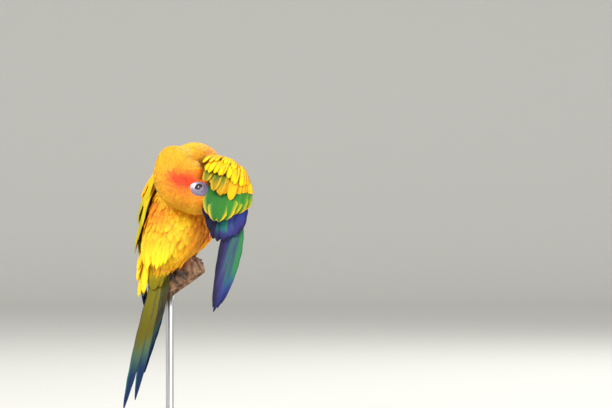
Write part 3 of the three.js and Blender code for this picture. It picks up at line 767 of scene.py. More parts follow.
def object_noise(tree: bpy.types.NodeTree, size: float, detail: float = 3.0,
                 stretch: tuple[float, float, float] | None = None) -> bpy.types.NodeSocket:
    """Noise on Object coordinates with lumps of a real size.

    Args:
        tree: of the material.
        size: of a lump, in mm.
        detail: of the noise.
        stretch: scales of the three axes, if not all 1.
    Returns:
        The socket that gives the noise from 0 to 1.
    """
    place = add_node(tree, "ShaderNodeTexCoord").outputs["Object"]
    if stretch:
        place = add_node(tree, "ShaderNodeMapping", {"Vector": place, "Scale": stretch}).outputs["Vector"]
    feeds = {"Vector": place, "Scale": 1 / (size * MM), "Detail": detail}
    return add_node(tree, "ShaderNodeTexNoise", feeds).outputs["Fac"]


PATCH_MM = 9.0  # size of the patches in which the plumage is a little lighter or darker
PATCH_SHADES = (0.93, 1.08)
BARB_SLANT = -0.5  # how far barbs lean to the tip between shaft and edge, as a part of the length
BARB_DEPTH_MM = 0.12


def plumage_material(name: str, barbs: float, finish: Finish = FEATHER) -> bpy.types.Material:
    """Feathers: the mesh's Plumage colour, with fine barbs across each vane from its own map.

    The barbs are a sine wave in (along - 0.5 |across - 0.5|), as many as lie along one vane.

    Args:
        name: of the material.
        barbs: how many barbs lie along one vane.
        finish: the shader's values.
    Returns:
        The material.
    """
    made, shader = base_material(name, finish)
    tree = made.node_tree

    def worked(operation: str, *feeds: bpy.types.NodeSocket | float) -> bpy.types.NodeSocket:
        """One step of arithmetic on sockets and numbers."""
        return add_node(tree, "ShaderNodeMath", dict(enumerate(feeds)), operation=operation).outputs[0]

    low, high = PATCH_SHADES
    patches = {"Value": object_noise(tree, PATCH_MM), "To Min": low, "To Max": high}
    shade = add_node(tree, "ShaderNodeMapRange", patches).outputs["Result"]
    tinted = add_node(tree, "ShaderNodeVectorMath", {0: plumage_colour(tree), 1: shade}, operation="MULTIPLY")
    tree.links.new(tinted.outputs["Vector"], shader.inputs["Base Color"])
    own = add_node(tree, "ShaderNodeUVMap", uv_map="Own").outputs["UV"]
    across, along = add_node(tree, "ShaderNodeSeparateXYZ", {"Vector": own}).outputs[:2]
    slant = worked("MULTIPLY_ADD", worked("ABSOLUTE", worked("SUBTRACT", across, 0.5)), BARB_SLANT, along)
    wave = worked("SINE", worked("MULTIPLY", slant, barbs * TAU))
    heights = {"Height": wave, "Strength": 0.35, "Distance": BARB_DEPTH_MM * MM}
    bump = add_node(tree, "ShaderNodeBump", heights)
    tree.links.new(bump.outputs["Normal"], shader.inputs["Normal"])
    return made


MOTTLE_EDGES = (0.38, 0.66)  # noise values at which one colour ends and the other is full
MOTTLE_DETAIL = 6.0


def mottled_material(name: str, finish: Finish, other: str, size: float, bump_mm: float,
                     stretch: tuple[float, float, float] | None = None) -> bpy.types.Material:
    """A finish whose colour wanders to another and whose surface is finely uneven.

    Args:
        name: of the material.
        finish: the shader's values.
        other: hex colour that shows in patches.
        size: of the patches, in mm.
        bump_mm: depth of the unevenness.
        stretch: scales of the axes of the pattern.
    Returns:
        The material.
    """
    made, shader = base_material(name, finish)
    tree = made.node_tree
    ramp = add_node(tree, "ShaderNodeValToRGB", {"Fac": object_noise(tree, size, MOTTLE_DETAIL, stretch)})
    for stop, place, colour in zip(ramp.color_ramp.elements, MOTTLE_EDGES, (finish.colour, other)):
        stop.position = place
        stop.color = (*linear(colour), 1)
    tree.links.new(ramp.outputs["Color"], shader.inputs["Base Color"])
    fine = object_noise(tree, size / 3, MOTTLE_DETAIL, stretch)
    bump = add_node(tree, "ShaderNodeBump", {"Height": fine, "Strength": 0.8, "Distance": bump_mm * MM})
    tree.links.new(bump.outputs["Normal"], shader.inputs["Normal"])
    return made


# Pieces


def linked(name: str, data: bpy.types.ID) -> bpy.types.Object:
    """A new object in the scene.

    Args:
        name: of the object.
        data: its mesh, lamp or camera.
    Returns:
        The object.
    """
    made = bpy.data.objects.new(name, data)
    bpy.context.scene.collection.objects.link(made)
    return made


def place_piece(name: str, form: Shape | bpy.types.Mesh, material: bpy.types.Material, slot: str,
                *nodes: str) -> bpy.types.Object:
    """Puts a shape into the scene as a piece of the object.

    Args:
        name: of the piece.
        form: in the shared frame, a shape in mm or a mesh in metres.
        material: of the piece.
        slot: not used.
        nodes: CAD nodes that the piece stands for.
    Returns:
        The object.
    """
    made = linked(name, form.mesh(name) if isinstance(form, Shape) else form)
    made.data.materials.clear()
    made.data.materials.append(material)
    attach(made, "root")
    if nodes:
        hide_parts(*nodes)
    LOG.info("%s: %d vertices, %d faces", name, len(made.data.vertices), len(made.data.polygons))
    return made


@dataclass
class Skin:
    """One closed skin of torso, neck, head, thighs and the wings' arms, inside the solids' flesh."""

    coat_depth: float = 2.2  # how deep the skin lies under the solids' plain surface
    neck_thicker: float = 0.4
    head_depth: float = 1.1
    arm_depth: float = 0.6
    leg_depth: float = 1.4
    voxel: float = 1.1
    shade: float = 0.85  # painted shade: the skin that shows between the feathers is darkened as if in their shade
    points: Array = field(init=False)
    normals: Array = field(init=False)
    corners: Array = field(init=False)
    corner_uv: Array = field(init=False)
    labels: Array = field(init=False)

    def build(self, lie: Lie) -> bpy.types.Object:
        """Joins the forms, remeshes them as one surface, smooths it, unwraps it and paints it.

        Args:
            lie: which part each place belongs to.
        Returns:
            The skin's object.
        """
        mesh = self.fused()
        mesh.uv_layers.new(name="OFBake")
        mesh.shade_smooth()
        piece = place_piece("skin", mesh, plumage_material("skin_plumage", 1.0), "golden_feather",
                            "torso", "neck", "head", "leg_right", "leg_left")
        self.unwrap(piece)
        self.read(mesh, lie)
        # painted shade: the markings are darkened where the skin shows between the feathers
        paint_mesh(mesh, markings(self.points, self.labels) * self.shade)
        own = mesh.uv_layers.new(name="Own")
        own.data.foreach_set("uv", np.full(2 * len(mesh.loops), 0.5, np.float32))
        return piece

    def fused(self) -> bpy.types.Mesh:
        """Fuses the forms of the body into one smooth surface.

        Returns:
            Its mesh in metres, without maps.
        """
        depth = self.coat_depth
        forms = [
            lofted(egg(TORSO_ROWS, BODY, 64, 40, -depth, LEAN)),
            lofted(tube(NECK_RISE, 48, 30, self.neck_thicker - depth)),
            lofted(tube(NECK_HOOK, 48, 24, self.neck_thicker - depth)),
            lofted(tube(THROAT, 40, 12, -depth)),
            lofted(egg(HEAD_ROWS, HEAD, 64, 30, -self.head_depth)),
            lofted(tube(RIGHT_ARM, 28, 30, -self.arm_depth)),
            lofted(tube(LEFT_ARM, 28, 30, -self.arm_depth)),
            lofted(tube(leg_stops("right"), 28, 14, -self.leg_depth)),
            lofted(tube(leg_stops("left"), 28, 14, -self.leg_depth)),
        ]
        rough = linked("skin_rough", Shape.join(forms).mesh("skin_rough"))
        remesh = rough.modifiers.new("Fuse", "REMESH")
        remesh.mode = "VOXEL"
        remesh.voxel_size = self.voxel * MM
        relax = rough.modifiers.new("Relax", "SMOOTH")
        relax.factor = 0.5
        relax.iterations = 14
        graph = bpy.context.evaluated_depsgraph_get()
        mesh = bpy.data.meshes.new_from_object(rough.evaluated_get(graph))
        bpy.data.objects.remove(rough)
        for layer in list(mesh.uv_layers):
            mesh.uv_layers.remove(layer)
        return mesh

    def unwrap(self, piece: bpy.types.Object) -> None:
        """Unwraps the skin by its own shape into flat islands.

        Args:
            piece: the skin's object.
        """
        bpy.context.view_layer.objects.active = piece
        piece.select_set(True)
        bpy.ops.object.mode_set(mode="EDIT")
        bpy.ops.mesh.select_all(action="SELECT")
        bpy.ops.uv.smart_project(angle_limit=math.radians(66), island_margin=0.01)
        bpy.ops.object.mode_set(mode="OBJECT")
        piece.select_set(False)

    def read(self, mesh: bpy.types.Mesh, lie: Lie) -> None:
        """Reads the surface into arrays.

        Args:
            mesh: of the skin.
            lie: which part each place belongs to.
        """
        count = len(mesh.vertices)
        flat = np.empty(count * 3, np.float32)
        mesh.vertices.foreach_get("co", flat)
        self.points = flat.reshape(-1, 3).astype(float) / MM
        mesh.vertices.foreach_get("normal", flat)
        self.normals = flat.reshape(-1, 3).astype(float)
        mesh.calc_loop_triangles()
        triangles = len(mesh.loop_triangles)
        corners, loops = np.empty(triangles * 3, np.int32), np.empty(triangles * 3, np.int32)
        mesh.loop_triangles.foreach_get("vertices", corners)
        mesh.loop_triangles.foreach_get("loops", loops)
        uv = np.empty(len(mesh.loops) * 2, np.float32)
        mesh.uv_layers["OFBake"].data.foreach_get("uv", uv)
        self.corners = corners.reshape(-1, 3)
        self.corner_uv = uv.reshape(-1, 2)[loops.reshape(-1, 3)]
        self.labels, _ = lie.at(self.points)

    def nearest(self, places: Array) -> tuple[Array, Array]:
        """The skin's vertices nearest to places, found in blocks.

        Args:
            places: in mm.
        Returns:
            Their points and normals.
        """
        found = []
        length = (self.points**2).sum(1)
        for block in np.array_split(places, max(1, len(places) // 400)):
            found.append((length[None] - 2 * block @ self.points.T).argmin(axis=1))
        index = np.concatenate(found)
        return self.points[index], self.normals[index]


@dataclass(frozen=True)
class CoatKind:
    """One area of small feathers: where it grows and the sizes of its feathers, in mm."""

    name: str
    slot: str
    labels: tuple[float, float]
    spacing: float
    length: float
    half_width: float
    stand: float  # height of the tips over the skin
    wild: float  # how far feathers stray, as a part
    stations: int = 7
    columns: int = 5


SHOULDER_LABELS = (1.6, TORSO_LABELS[0])
COATS = [
    CoatKind("coat_head", "orange_feather", (0.0, 1.1), 1.2, 6.2, 1.1, 0.3, 0.07, 6, 3),
    CoatKind("coat_neck", "golden_feather", (1.1, SHOULDER_LABELS[0]), 1.5, 9.0, 1.5, 0.55, 0.09, 6, 3),
    CoatKind("coat_shoulders", "golden_feather", SHOULDER_LABELS, 1.8, 11, 1.8, 0.8, 0.11, 6, 3),
    CoatKind("coat_torso", "golden_feather", TORSO_LABELS, 2.2, 17, 2.1, 2.6, 0.24, 8, 5),
    CoatKind("coat_arm_right", "golden_feather", (4.0, 5.1), 1.8, 9, 1.8, 0.8, 0.12),
    CoatKind("coat_arm_left", "golden_feather", (6.0, 7.1), 1.8, 9, 1.8, 0.8, 0.12),
    CoatKind("coat_legs", "orange_feather", (8.0, 11.2), 1.6, 9, 1.5, 1.0, 0.2),
]

BARE_RADIUS = 6.4  # of the bare skin round each eye
TAIL_COVER = vec(-20.5, -3, 110)  # on the tail's upper side, where the loose feathers of the rump meet
TRIES_IN_CELL = 14  # random places for each cell of the grid of roots
GRID_STRIDE = 4001  # more cells than the bird has along any axis
LEAST_GAP = 0.62  # between roots, as a part of their spacing
MOST_COMPARED = 6000  # roots of an area whose gaps are all measured
BARBS_OF_COAT = 14.0
HEAD_REACH = 21  # from the head's middle, past its feathers


@dataclass
class Coat:
    """Small feathers over one area of the skin, each lying back over the next."""

    kind: CoatKind
    skin: Skin
    lie: Lie
    draw: np.random.Generator

    def scattered(self) -> tuple[Array, Array, Array]:
        """Random places all over the area: triangles picked by their size, then a point in each.

        Returns:
            Places, normals and bake coordinates.
        """
        skin = self.skin
        a, b, c = (skin.points[skin.corners[:, i]] for i in range(3))
        area = 0.5 * np.linalg.norm(np.cross(b - a, c - a), axis=1)
        label = skin.labels[skin.corners[:, 0]]
        area = area * ((label >= self.kind.labels[0]) & (label < self.kind.labels[1]))
        count = int(TRIES_IN_CELL * area.sum() / self.kind.spacing**2)
        pick = self.draw.choice(len(area), count, p=area / area.sum())
        first, second = self.draw.random((2, count))
        flip = first + second > 1
        first, second = np.where(flip, 1 - first, first), np.where(flip, 1 - second, second)
        weight = np.stack([1 - first - second, first, second], axis=1)
        corners = (skin.points[skin.corners[pick]], skin.normals[skin.corners[pick]], skin.corner_uv[pick])
        places, normals, uv = (np.einsum("nk,nkd->nd", weight, values) for values in corners)
        return places, unit(normals), uv

    def roots(self) -> tuple[Array, Array, Array]:
        """Evenly spread places on the skin: of random ones, the nearest to the middle of each cell.

        Returns:
            Places, normals and bake coordinates.
        """
        places, normals, uv = self.scattered()
        spacing = self.kind.spacing
        cell = np.floor(places / spacing).astype(int)
        off = np.linalg.norm(places / spacing - cell - 0.5, axis=1)
        key = (cell[:, 0] * GRID_STRIDE + cell[:, 1]) * GRID_STRIDE + cell[:, 2]
        order = np.lexsort((off, key))
        _, keep = np.unique(key[order], return_index=True)
        chosen = order[keep]
        if len(chosen) < MOST_COMPARED:
            gap = np.linalg.norm(places[chosen][:, None] - places[chosen][None], axis=2)
            crowded = np.tril(gap < LEAST_GAP * spacing, -1).any(axis=1)
            chosen = chosen[~crowded]
        return places[chosen], normals[chosen], uv[chosen]

    def build(self) -> bpy.types.Object:
        """Makes the feathers of the area.

        Returns:
            The coat's object.
        """
        root, normal, uv = self.roots()
        labels, way = self.lie.at(root)
        grown = self.keep(root)
        root, normal, uv, labels, way = (x[grown] for x in (root, normal, uv, labels, way))
        vanes = self.vanes(root, normal, labels, way)
        shape, across, along = vanes.shape()
        each = len(shape.points) // len(root)
        shape.colour = self.colours(root, vanes.centre[:, -1], labels, across, along)
        local = np.stack([across * 0.5, along - 0.5], axis=1) * 0.003
        shape.bake_uv = np.repeat(uv, each, axis=0) + local
        name = self.kind.name
        return place_piece(name, shape, plumage_material(name + "_plumage", BARBS_OF_COAT), self.kind.slot)

    def vanes(self, root: Array, normal: Array, labels: Array, way: Array) -> Vanes:
        """The feathers' lines and widths: from each root along the lie to the skin again, a little over it.

        Args:
            root: places in mm.
            normal: of the skin there.
            labels: of their parts.
            way: in which feathers lie there.
        Returns:
            The vanes.
        """
        kind, draw, count = self.kind, self.draw, len(root)
        scale = self.scale(root, labels)
        way = unit(way - normal * dot(way, normal))
        stray = np.cross(normal, way) * draw.normal(0, kind.wild, (count, 1))
        way = unit(way + stray)
        length = (kind.length * scale * draw.uniform(0.85, 1.15, count))[:, None]
        tip_skin, tip_normal = self.skin.nearest(root + way * length)
        fluff = (kind.stand * (0.45 + 0.9 * draw.random(count)) * scale)[:, None]
        tip = tip_skin + tip_normal * fluff
        reach = np.linalg.norm(tip - root, axis=1, keepdims=True)
        tip = root + unit(tip - root) * np.minimum(reach, 1.1 * length)
        loose = self.loose(root, labels)
        hang = unit(unit(TAIL_COVER - root) + stray + 0.18 * normal)
        tip = tip * (1 - loose) + (root + hang * length) * loose
        pull = way * (1 - 0.6 * loose) + hang * 0.6 * loose
        middle = root + pull * length * 0.5 + normal * fluff * 0.75
        centre = curved(root - normal * 0.5, middle, tip, kind.stations)
        share = np.linspace(0, 1, kind.stations)
        face = unit(normal[:, None] * (1 - share)[None, :, None] + tip_normal[:, None] * share[None, :, None])
        roll = np.cross(way, normal) * draw.normal(0, 0.07, (count, 1))
        face = unit(face + roll[:, None])
        half = kind.half_width * (scale * draw.uniform(0.85, 1.15, count))[:, None]
        half = half * BODY_OUTLINE.at(share)[None]
        return Vanes(centre, face, half, arch=0.12, thick=0.1, columns=kind.columns)

    def colours(self, root: Array, tip: Array, labels: Array, across: Array, along: Array) -> Array:
        """The markings at each feather, varied a little, with painted shade at the root, and on the torso an
        orange wash there that is partly painted shade.

        Args:
            root: places of the feathers.
            tip: of the feathers.
            labels: of their parts.
            across: place of each vertex across its feather.
            along: place of each vertex along its feather.
        Returns:
            Linear colours of the vertices.
        """
        draw, count = self.draw, len(root)
        each = len(along) // count
        feather = markings(0.35 * root + 0.65 * tip, labels) * draw.uniform(0.93, 1.07, (count, 1))
        feather = feather * (1 + draw.normal(0, 0.05, (count, 3)) * vec(0.4, 1.2, 0.5))
        colour = np.clip(np.repeat(feather, each, axis=0), 0, 1)
        on_torso = np.repeat(of_torso(labels), each)
        # On the torso an orange wash toward the root: partly the orange between the tufts, partly painted
        # shade that gives them depth.
        warm_shade = np.repeat(draw.random(count), each) * (1 - ease(along, 0.5, 0.95)) * on_torso
        colour = lay(colour, (Paint.AMBER, 0.75 * warm_shade))
        # painted shade: each feather darkens toward its root, under the one before it.
        fade = 0.86 + 0.14 * ease(along, 0.15, 0.75)
        edge = 1 + 0.1 * ease(np.abs(across), 0.5, 1.0) * ease(along, 0.6, 1.0)
        return np.clip(colour * (fade * edge)[:, None], 0, 1)

    def loose(self, root: Array, labels: Array) -> Array:
        """Shares, as a column, by which feathers hang free to the tail instead of following the skin."""
        forward, _, back = BODY.of(root).T
        return (of_torso(labels) * (1 - ease(forward, 10, 32)) * ease(back, -5, 4))[:, None]

    def scale(self, root: Array, labels: Array) -> Array:
        """Feather size by place: smallest on the face by the bill, longest and loosest on the rump.

        Args:
            root: places in mm.
            labels: of their parts.
        Returns:
            A factor for each.
        """
        ahead, _, up = HEAD.of(root).T
        forward = BODY.of(root)[:, 0]
        eye = np.hypot(ahead - EYE_AT[0], up - EYE_AT[2])
        on_face = (1.1 - 0.55 * ease(ahead, -8, 11)) * (0.6 + 0.4 * ease(eye, 6, 12))
        on_body = (0.85 + 0.4 * (1 - ease(forward, 20, 55))) * (0.4 + 0.6 * ease(forward, 2, 26))
        return np.select([labels < 1.1, of_torso(labels)], [on_face, on_body], 1.0)

    def keep(self, root: Array) -> Array:
        """Leaves out feathers on the bare skin round the eyes and under the bill's base.

        Args:
            root: places in mm.
        Returns:
            True where a feather grows.
        """
        ahead, side, up = HEAD.of(root).T
        near = np.linalg.norm(HEAD.of(root), axis=1) < HEAD_REACH
        bare = (np.hypot(ahead - EYE_AT[0], up - EYE_AT[2]) < BARE_RADIUS - 0.8) & (np.abs(side) > 5)
        gape = (ahead > 12.2) & (np.abs(side) < 9)
        return ~(near & (bare | gape))


# Wings and tail


class Row(Enum):
    """Kinds of large feathers, each with a pattern of its own."""

    PRIMARY = auto()
    SECONDARY = auto()
    GREATER = auto()
    MEDIAN = auto()
    LESSER = auto()
    GOLDEN = auto()
    WINGTIP = auto()
    FOLDED = auto()
    BELLY = auto()
    TUFT = auto()
    QUILL = auto()
    TAIL_COVERT = auto()


SIDE_STRAY = 20  # mm by which a feather whose stray is 1 leans to a side
VANE_THICK = 0.3
VANE_COLUMNS = 13
SHAFT_RIDGE = 0.35


@dataclass(frozen=True)
class Tier:
    """A row of flight feathers or coverts between a line of roots and a line of tips."""

    name: str
    row: Row
    count: int
    width: tuple[float, float]  # half width of the first feather and of the last
    roots: list
    tips: list
    faces: list
    bow: float
    lift: tuple[float, float]  # of the roots and of the tips over their lines
    roll: float
    step: float = 0.0  # by which each feather's tip lies under the next one's
    outline: Outline = BLUNT
    stations: int = 22
    stray: float = 0.02  # how far lengths and ways vary
    arch: float = 0.22

    def build(self, draw: np.random.Generator) -> tuple[Shape, Array, Array, Array]:
        """Makes the tier's feathers.

        Args:
            draw: the seeded draws.
        Returns:
            The shape, and for each vertex its feather's share of the row and its place across and along.
        """
        share = np.linspace(0, 1, self.count)
        face = unit(spline(self.faces, share))
        root = spline(self.roots, share) + face * self.lift[0]
        tip = spline(self.tips, share) + face * self.lift[1]
        tip = tip + (tip - root) * (self.stray * draw.uniform(-1, 1, (self.count, 1)))
        aside = SIDE_STRAY * self.stray * draw.uniform(-1, 1, (self.count, 1))
        tip = tip + np.cross(unit(tip - root), face) * aside
        tip = tip + face * (self.step * (share - 1) * (self.count - 1))[:, None]
        centre = curved(root, 0.5 * (root + tip) + face * (2 * self.bow), tip, self.stations)
        roll = self.roll * (1 + 0.15 * draw.uniform(-1, 1, (self.count, 1)))
        tilted = unit(face - np.cross(unit(tip - root), face) * np.tan(roll))
        along = np.linspace(0, 1, self.stations)
        width = np.interp(share, [0, 1], self.width)[:, None] * self.outline.at(along)[None]
        width = width * (1 + 0.035 * np.sin(along[None] * 31 + draw.uniform(0, TAU, (self.count, 1))))
        faces = np.repeat(tilted[:, None], self.stations, axis=1)
        vanes = Vanes(centre, faces, width, self.arch, VANE_THICK, VANE_COLUMNS, SHAFT_RIDGE)
        shape, across, station = vanes.shape()
        LOG.info("%s: %d feathers", self.name, self.count)
        return shape, np.repeat(share, len(shape.points) // self.count), across, station


def flight_washes(row: Row, share: Array, across: Array, along: Array) -> list[tuple[Paint, Array | float]]:
    """The paints of primaries and secondaries, as for all rows below.

    Args:
        row: which row.
        share: place of the feather in its row, 0 at the leading one.
        across: -1 at the leading edge to 1.
        along: 0 at the root to 1 at the tip.
    Returns:
        Pairs of a paint and its share at each point.
    """
    front = (1 - ease(share, 0.35, 0.75)) * (1 - ease(along, 0.5, 0.8))
    primary = [
        (Paint.VIOLET, 1.0),
        (Paint.BLUE, 0.7 * ease(-across, -0.2, 0.4) * (1 - 0.5 * share)),
        (Paint.TEAL, 0.85 * ease(-across, -0.1, 0.5) * (1 - ease(along, 0.55, 0.85))),
        (Paint.GREEN, 0.7 * ease(-across, -0.3, 0.3) * front),
        (Paint.INK, 0.85 * ease(across, 0.1, 0.8)),
        (Paint.INK, 0.7 * ease(-across, 0.86, 0.98)),
        (Paint.INK, 0.7 * ease(share, 0.45, 0.85)),
        (Paint.INK, 0.65 * ease(along, 0.7, 1.0)),
    ]
    if row is Row.PRIMARY:
        return primary
    if row is Row.WINGTIP:
        covered = np.maximum(1 - ease(along, 0.5, 0.66), ease(share, 0.4, 0.6))
        return [*primary, (Paint.LIME, 0.9 * covered)]
    sheen = ease(share, 0.25, 0.4) * (1 - ease(share, 0.62, 0.8)) * (1 - ease(along, 0.82, 0.92))
    return [
        (Paint.BLUE, 1.0),
        (Paint.VIOLET, 0.7 * ease(along, 0.5, 0.9)),
        (Paint.TEAL, 0.95 * sheen),
        (Paint.GREEN, 0.55 * sheen * ease(-across, -0.4, 0.4)),
        # Darkest on the inner half of the row: the feathers' dark undersides, deepened with painted shade
        # where the trailing edge curls over.
        (Paint.INK, 0.95 * ease(share, 0.5, 0.68) * ease(along, 0.3, 0.5)),
        (Paint.INK, 0.8 * ease(along, 0.86, 0.95) * ease(share, 0.3, 0.5)),
        (Paint.INK, 0.7 * ease(np.abs(across), 0.5, 0.95)),
    ]


def washes(row: Row, share: Array, across: Array, along: Array) -> list[tuple[Paint, Array | float]]:
    """The paints of a row of large feathers in their order, the first one all over.

    Args:
        row: which row.
        share: place of the feather in its row, 0 at the leading one.
        across: -1 at the leading edge to 1.
        along: 0 at the root to 1 at the tip.
    Returns:
        Pairs of a paint and its share at each point.
    """
    rim = np.abs(across)
    edge = ease(rim, 0.45, 0.95)
    tip = ease(along, 0.75, 1.0)
    match row:
        case Row.GREATER:
            return [
                (Paint.GREEN, 1.0),
                (Paint.DEEP_GREEN, 0.6 * (1 - ease(along, 0.3, 0.7))),
                (Paint.DEEP_GREEN, 0.4 * ease(share, 0.35, 0.7) * (1 - edge)),
                (Paint.TEAL, 0.35 * ease(across, 0.1, 0.7)),
                (Paint.LIME, 0.75 * edge * ease(along, 0.35, 0.8)),
                (Paint.GOLD, 0.6 * edge * tip * (1 - 0.5 * share)),
            ]
        case Row.MEDIAN:
            green = (1 - edge) * (0.45 + 0.5 * ease(share, 0.45, 0.8))
            green = green * (1 - ease(along, 0.6, 0.9) * (1 - 0.8 * share))
            return [
                (Paint.GOLD, 1.0),
                (Paint.GREEN, green),
                (Paint.DEEP_GREEN, 0.5 * green * ease(share, 0.5, 0.9)),
                (Paint.LIME, 0.6 * edge * ease(share, 0.4, 0.8)),
                # painted shadow: dark slits along both edges, where the coverts overlap
                (Paint.DEEP_GREEN, 0.8 * ease(rim, 0.75, 0.98) * (1 - 0.5 * tip)),
            ]
        case Row.LESSER:
            # painted shadow: dark slits along the edges, strongest on one side, where the coverts overlap
            shadow_slit = np.maximum(0.95 * ease(across, 0.3, 0.7), 0.9 * ease(-across, 0.7, 0.95))
            return [
                (Paint.GOLD, 1.0),
                (Paint.LIME, 0.4 * (1 - edge) * (1 - tip)),
                (Paint.BRIGHT, 0.7 * ease(along, 0.6, 0.95)),
                (Paint.DEEP_GREEN, shadow_slit * (1 - 0.45 * tip)),
            ]
        case Row.GOLDEN:
            return [(Paint.GOLD, 1.0), (Paint.OLIVE, 0.4 * edge), (Paint.GOLD, 0.5 * ease(along, 0.6, 0.95))]
        case Row.FOLDED:
            return [
                (Paint.LIME, 1.0),
                (Paint.GOLD, 0.75 * (1 - ease(along, 0.45, 0.9))),
                (Paint.GOLD, 0.4 * edge * tip),
                (Paint.GREEN, 0.6 * ease(rim, 0.7, 0.98) * (1 - tip)),
            ]
        case Row.BELLY:
            return [
                (Paint.AMBER, 1.0),
                (Paint.GOLD, 0.6 * ease(share, 0.0, 0.3) * ease(along, 0.3, 0.9)),
                (Paint.RUST, 0.4 * (1 - ease(along, 0.2, 0.7))),
            ]
        case Row.TUFT:
            return [
                (Paint.BRIGHT, 1.0),
                (Paint.AMBER, 0.55 * (1 - ease(along, 0.3, 0.85))),
                # painted shade: olive along the edges, less toward the tip, for the shade between the tufts
                (Paint.OLIVE, 0.35 * ease(rim, 0.7, 1.0) * (1 - tip)),
            ]
        case Row.QUILL:
            inner = ease(along, 0.6, 0.75) * (1 - ease(along, 0.85, 0.95))
            return [
                (Paint.OLIVE, 1.0),
                (Paint.LIME, 0.12 * (1 - ease(along, 0.2, 0.5))),
                (Paint.SEA, 0.8 * ease(rim, 0.78, 0.98)),
                (Paint.TEAL, 0.5 * ease(along, 0.5, 0.68)),
                (Paint.SEA, 0.97 * ease(along, 0.6, 0.8)),
                (Paint.TEAL, 0.7 * ease(across, 0.4, 0.8) * inner),
            ]
        case Row.TAIL_COVERT:
            return [(Paint.LIME, 1.0), (Paint.GOLD, 0.35 * ease(rim, 0.4, 1)),
                    (Paint.OLIVE, 0.8 * ease(along, 0.3, 0.8))]
    return flight_washes(row, share, across, along)


def feather_paint(row: Row, share: Array, across: Array, along: Array) -> Array:
    """Linear colours of a row of large feathers from the paints laid over each other."""
    return lay(np.zeros((len(along), 3)), *washes(row, share, across, along))


def cell_map(shape: Shape, first: int, count: int, cells: int) -> Array:
    """Bake coordinates that give each feather its own cell of the map.

    Args:
        shape: of the feathers, with their own map.
        first: number of the first feather's cell.
        count: how many feathers the shape has.
        cells: in a row of the map.
    Returns:
        One pair for each vertex.
    """
    number = first + np.repeat(np.arange(count), len(shape.points) // count)
    corner = np.stack([number % cells, number // cells], axis=1) / cells
    return corner + in_cell(shape.own_uv) / cells


def tiers_shape(tiers: list[Tier], draw: np.random.Generator) -> Shape:
    """All the feathers of one limb as one shape, each with its own cell of the bake map.

    Args:
        tiers: the rows.
        draw: the seeded draws.
    Returns:
        The painted shape.
    """
    made = []
    start = 0
    cells = math.ceil(math.sqrt(sum(tier.count for tier in tiers)))
    for tier in tiers:
        shape, share, across, along = tier.build(draw)
        shade = np.repeat(draw.uniform(0.85, 1.12, tier.count), len(shape.points) // tier.count)
        shape.colour = np.clip(feather_paint(tier.row, share, across, along) * shade[:, None], 0, 1)
        shape.bake_uv = cell_map(shape, start, tier.count, cells)
        start += tier.count
        made.append(shape)
    return Shape.join(made)


OUT_FACE = [0.35, -0.85, 0.4]
IN_FACE = [-0.1, -0.9, 0.42]
TOP_FACE = [0.1, -0.55, 0.85]

RIGHT_TIERS = [
    Tier("primaries", Row.PRIMARY, 10, (4.6, 5.2),
         [[42.5, -26, 153], [43, -17, 168], [42, -11, 180]],
         [[31, -55, 102], [24, -58, 96], [22.4, -54, 103], [24.5, -43, 122], [28, -36, 138]],
         [OUT_FACE, IN_FACE], bow=3, lift=(-1.2, -2.5), roll=-0.14, step=0.7, outline=POINTED),
    Tier("secondaries", Row.SECONDARY, 8, (5.6, 6),
         [[41, -11, 182], [37, -2, 192], [27, 6, 197.5]],
         [[40, -33, 150], [32, -35, 146], [22.5, -32, 144], [17, -27, 158]],
         [OUT_FACE, IN_FACE], bow=5, lift=(0.3, 0), roll=-0.16, step=0.5),
    Tier("greater_coverts", Row.GREATER, 7, (5.2, 7.4),
         [[42, -11, 181], [37, -3, 193.5], [26, 7, 199.5]],
         [[43.5, -27, 166], [36, -32, 161], [26.5, -34, 157.5], [20, -31, 160]],
         [OUT_FACE, IN_FACE], bow=6, lift=(1.8, 1.6), roll=-0.18, step=0.35, stray=0.04),
    Tier("median_coverts", Row.MEDIAN, 12, (3.5, 4.3),
         [[42, -9, 187], [36, -1, 196.5], [25, 10, 200.5]],
         [[45, -22, 172], [36, -28, 173], [27, -29, 176], [16.5, -25.5, 184]],
         [OUT_FACE, IN_FACE], bow=5, lift=(3.2, 2.8), roll=-0.24, step=0.2, stray=0.1),
    Tier("lesser_coverts", Row.LESSER, 15, (2.4, 3.1),
         [[41, -6, 191], [34, 2, 198.5], [24, 12, 201]],
         [[44.5, -17, 181], [36, -23, 184], [27, -21, 189], [13, -21.5, 191.5]],
         [OUT_FACE, TOP_FACE], bow=4, lift=(3.8, 3.6), roll=-0.24, stray=0.13),
    Tier("marginal_coverts", Row.LESSER, 19, (1.8, 2.3),
         [[40, -3, 195], [33, 5, 200], [23, 15, 202]],
         [[43, -12, 188], [36, -15, 193], [28, -12, 197.5], [12.5, -13.5, 198.5]],
         [OUT_FACE, TOP_FACE], bow=3, lift=(3.6, 3.8), roll=-0.24, stations=14, stray=0.13),
]


def body_rows(rows: list) -> list:
    """World points of rows that say forward, right and back in the body's frame."""
    return [list(BODY.at(*row)) for row in rows]


LOW_FACE = list(-RIGHT - 0.2 * DORSAL)
SIDE_FACE = list(-RIGHT + 0.3 * DORSAL)
BACK_FACE = list(-RIGHT + 0.8 * DORSAL)

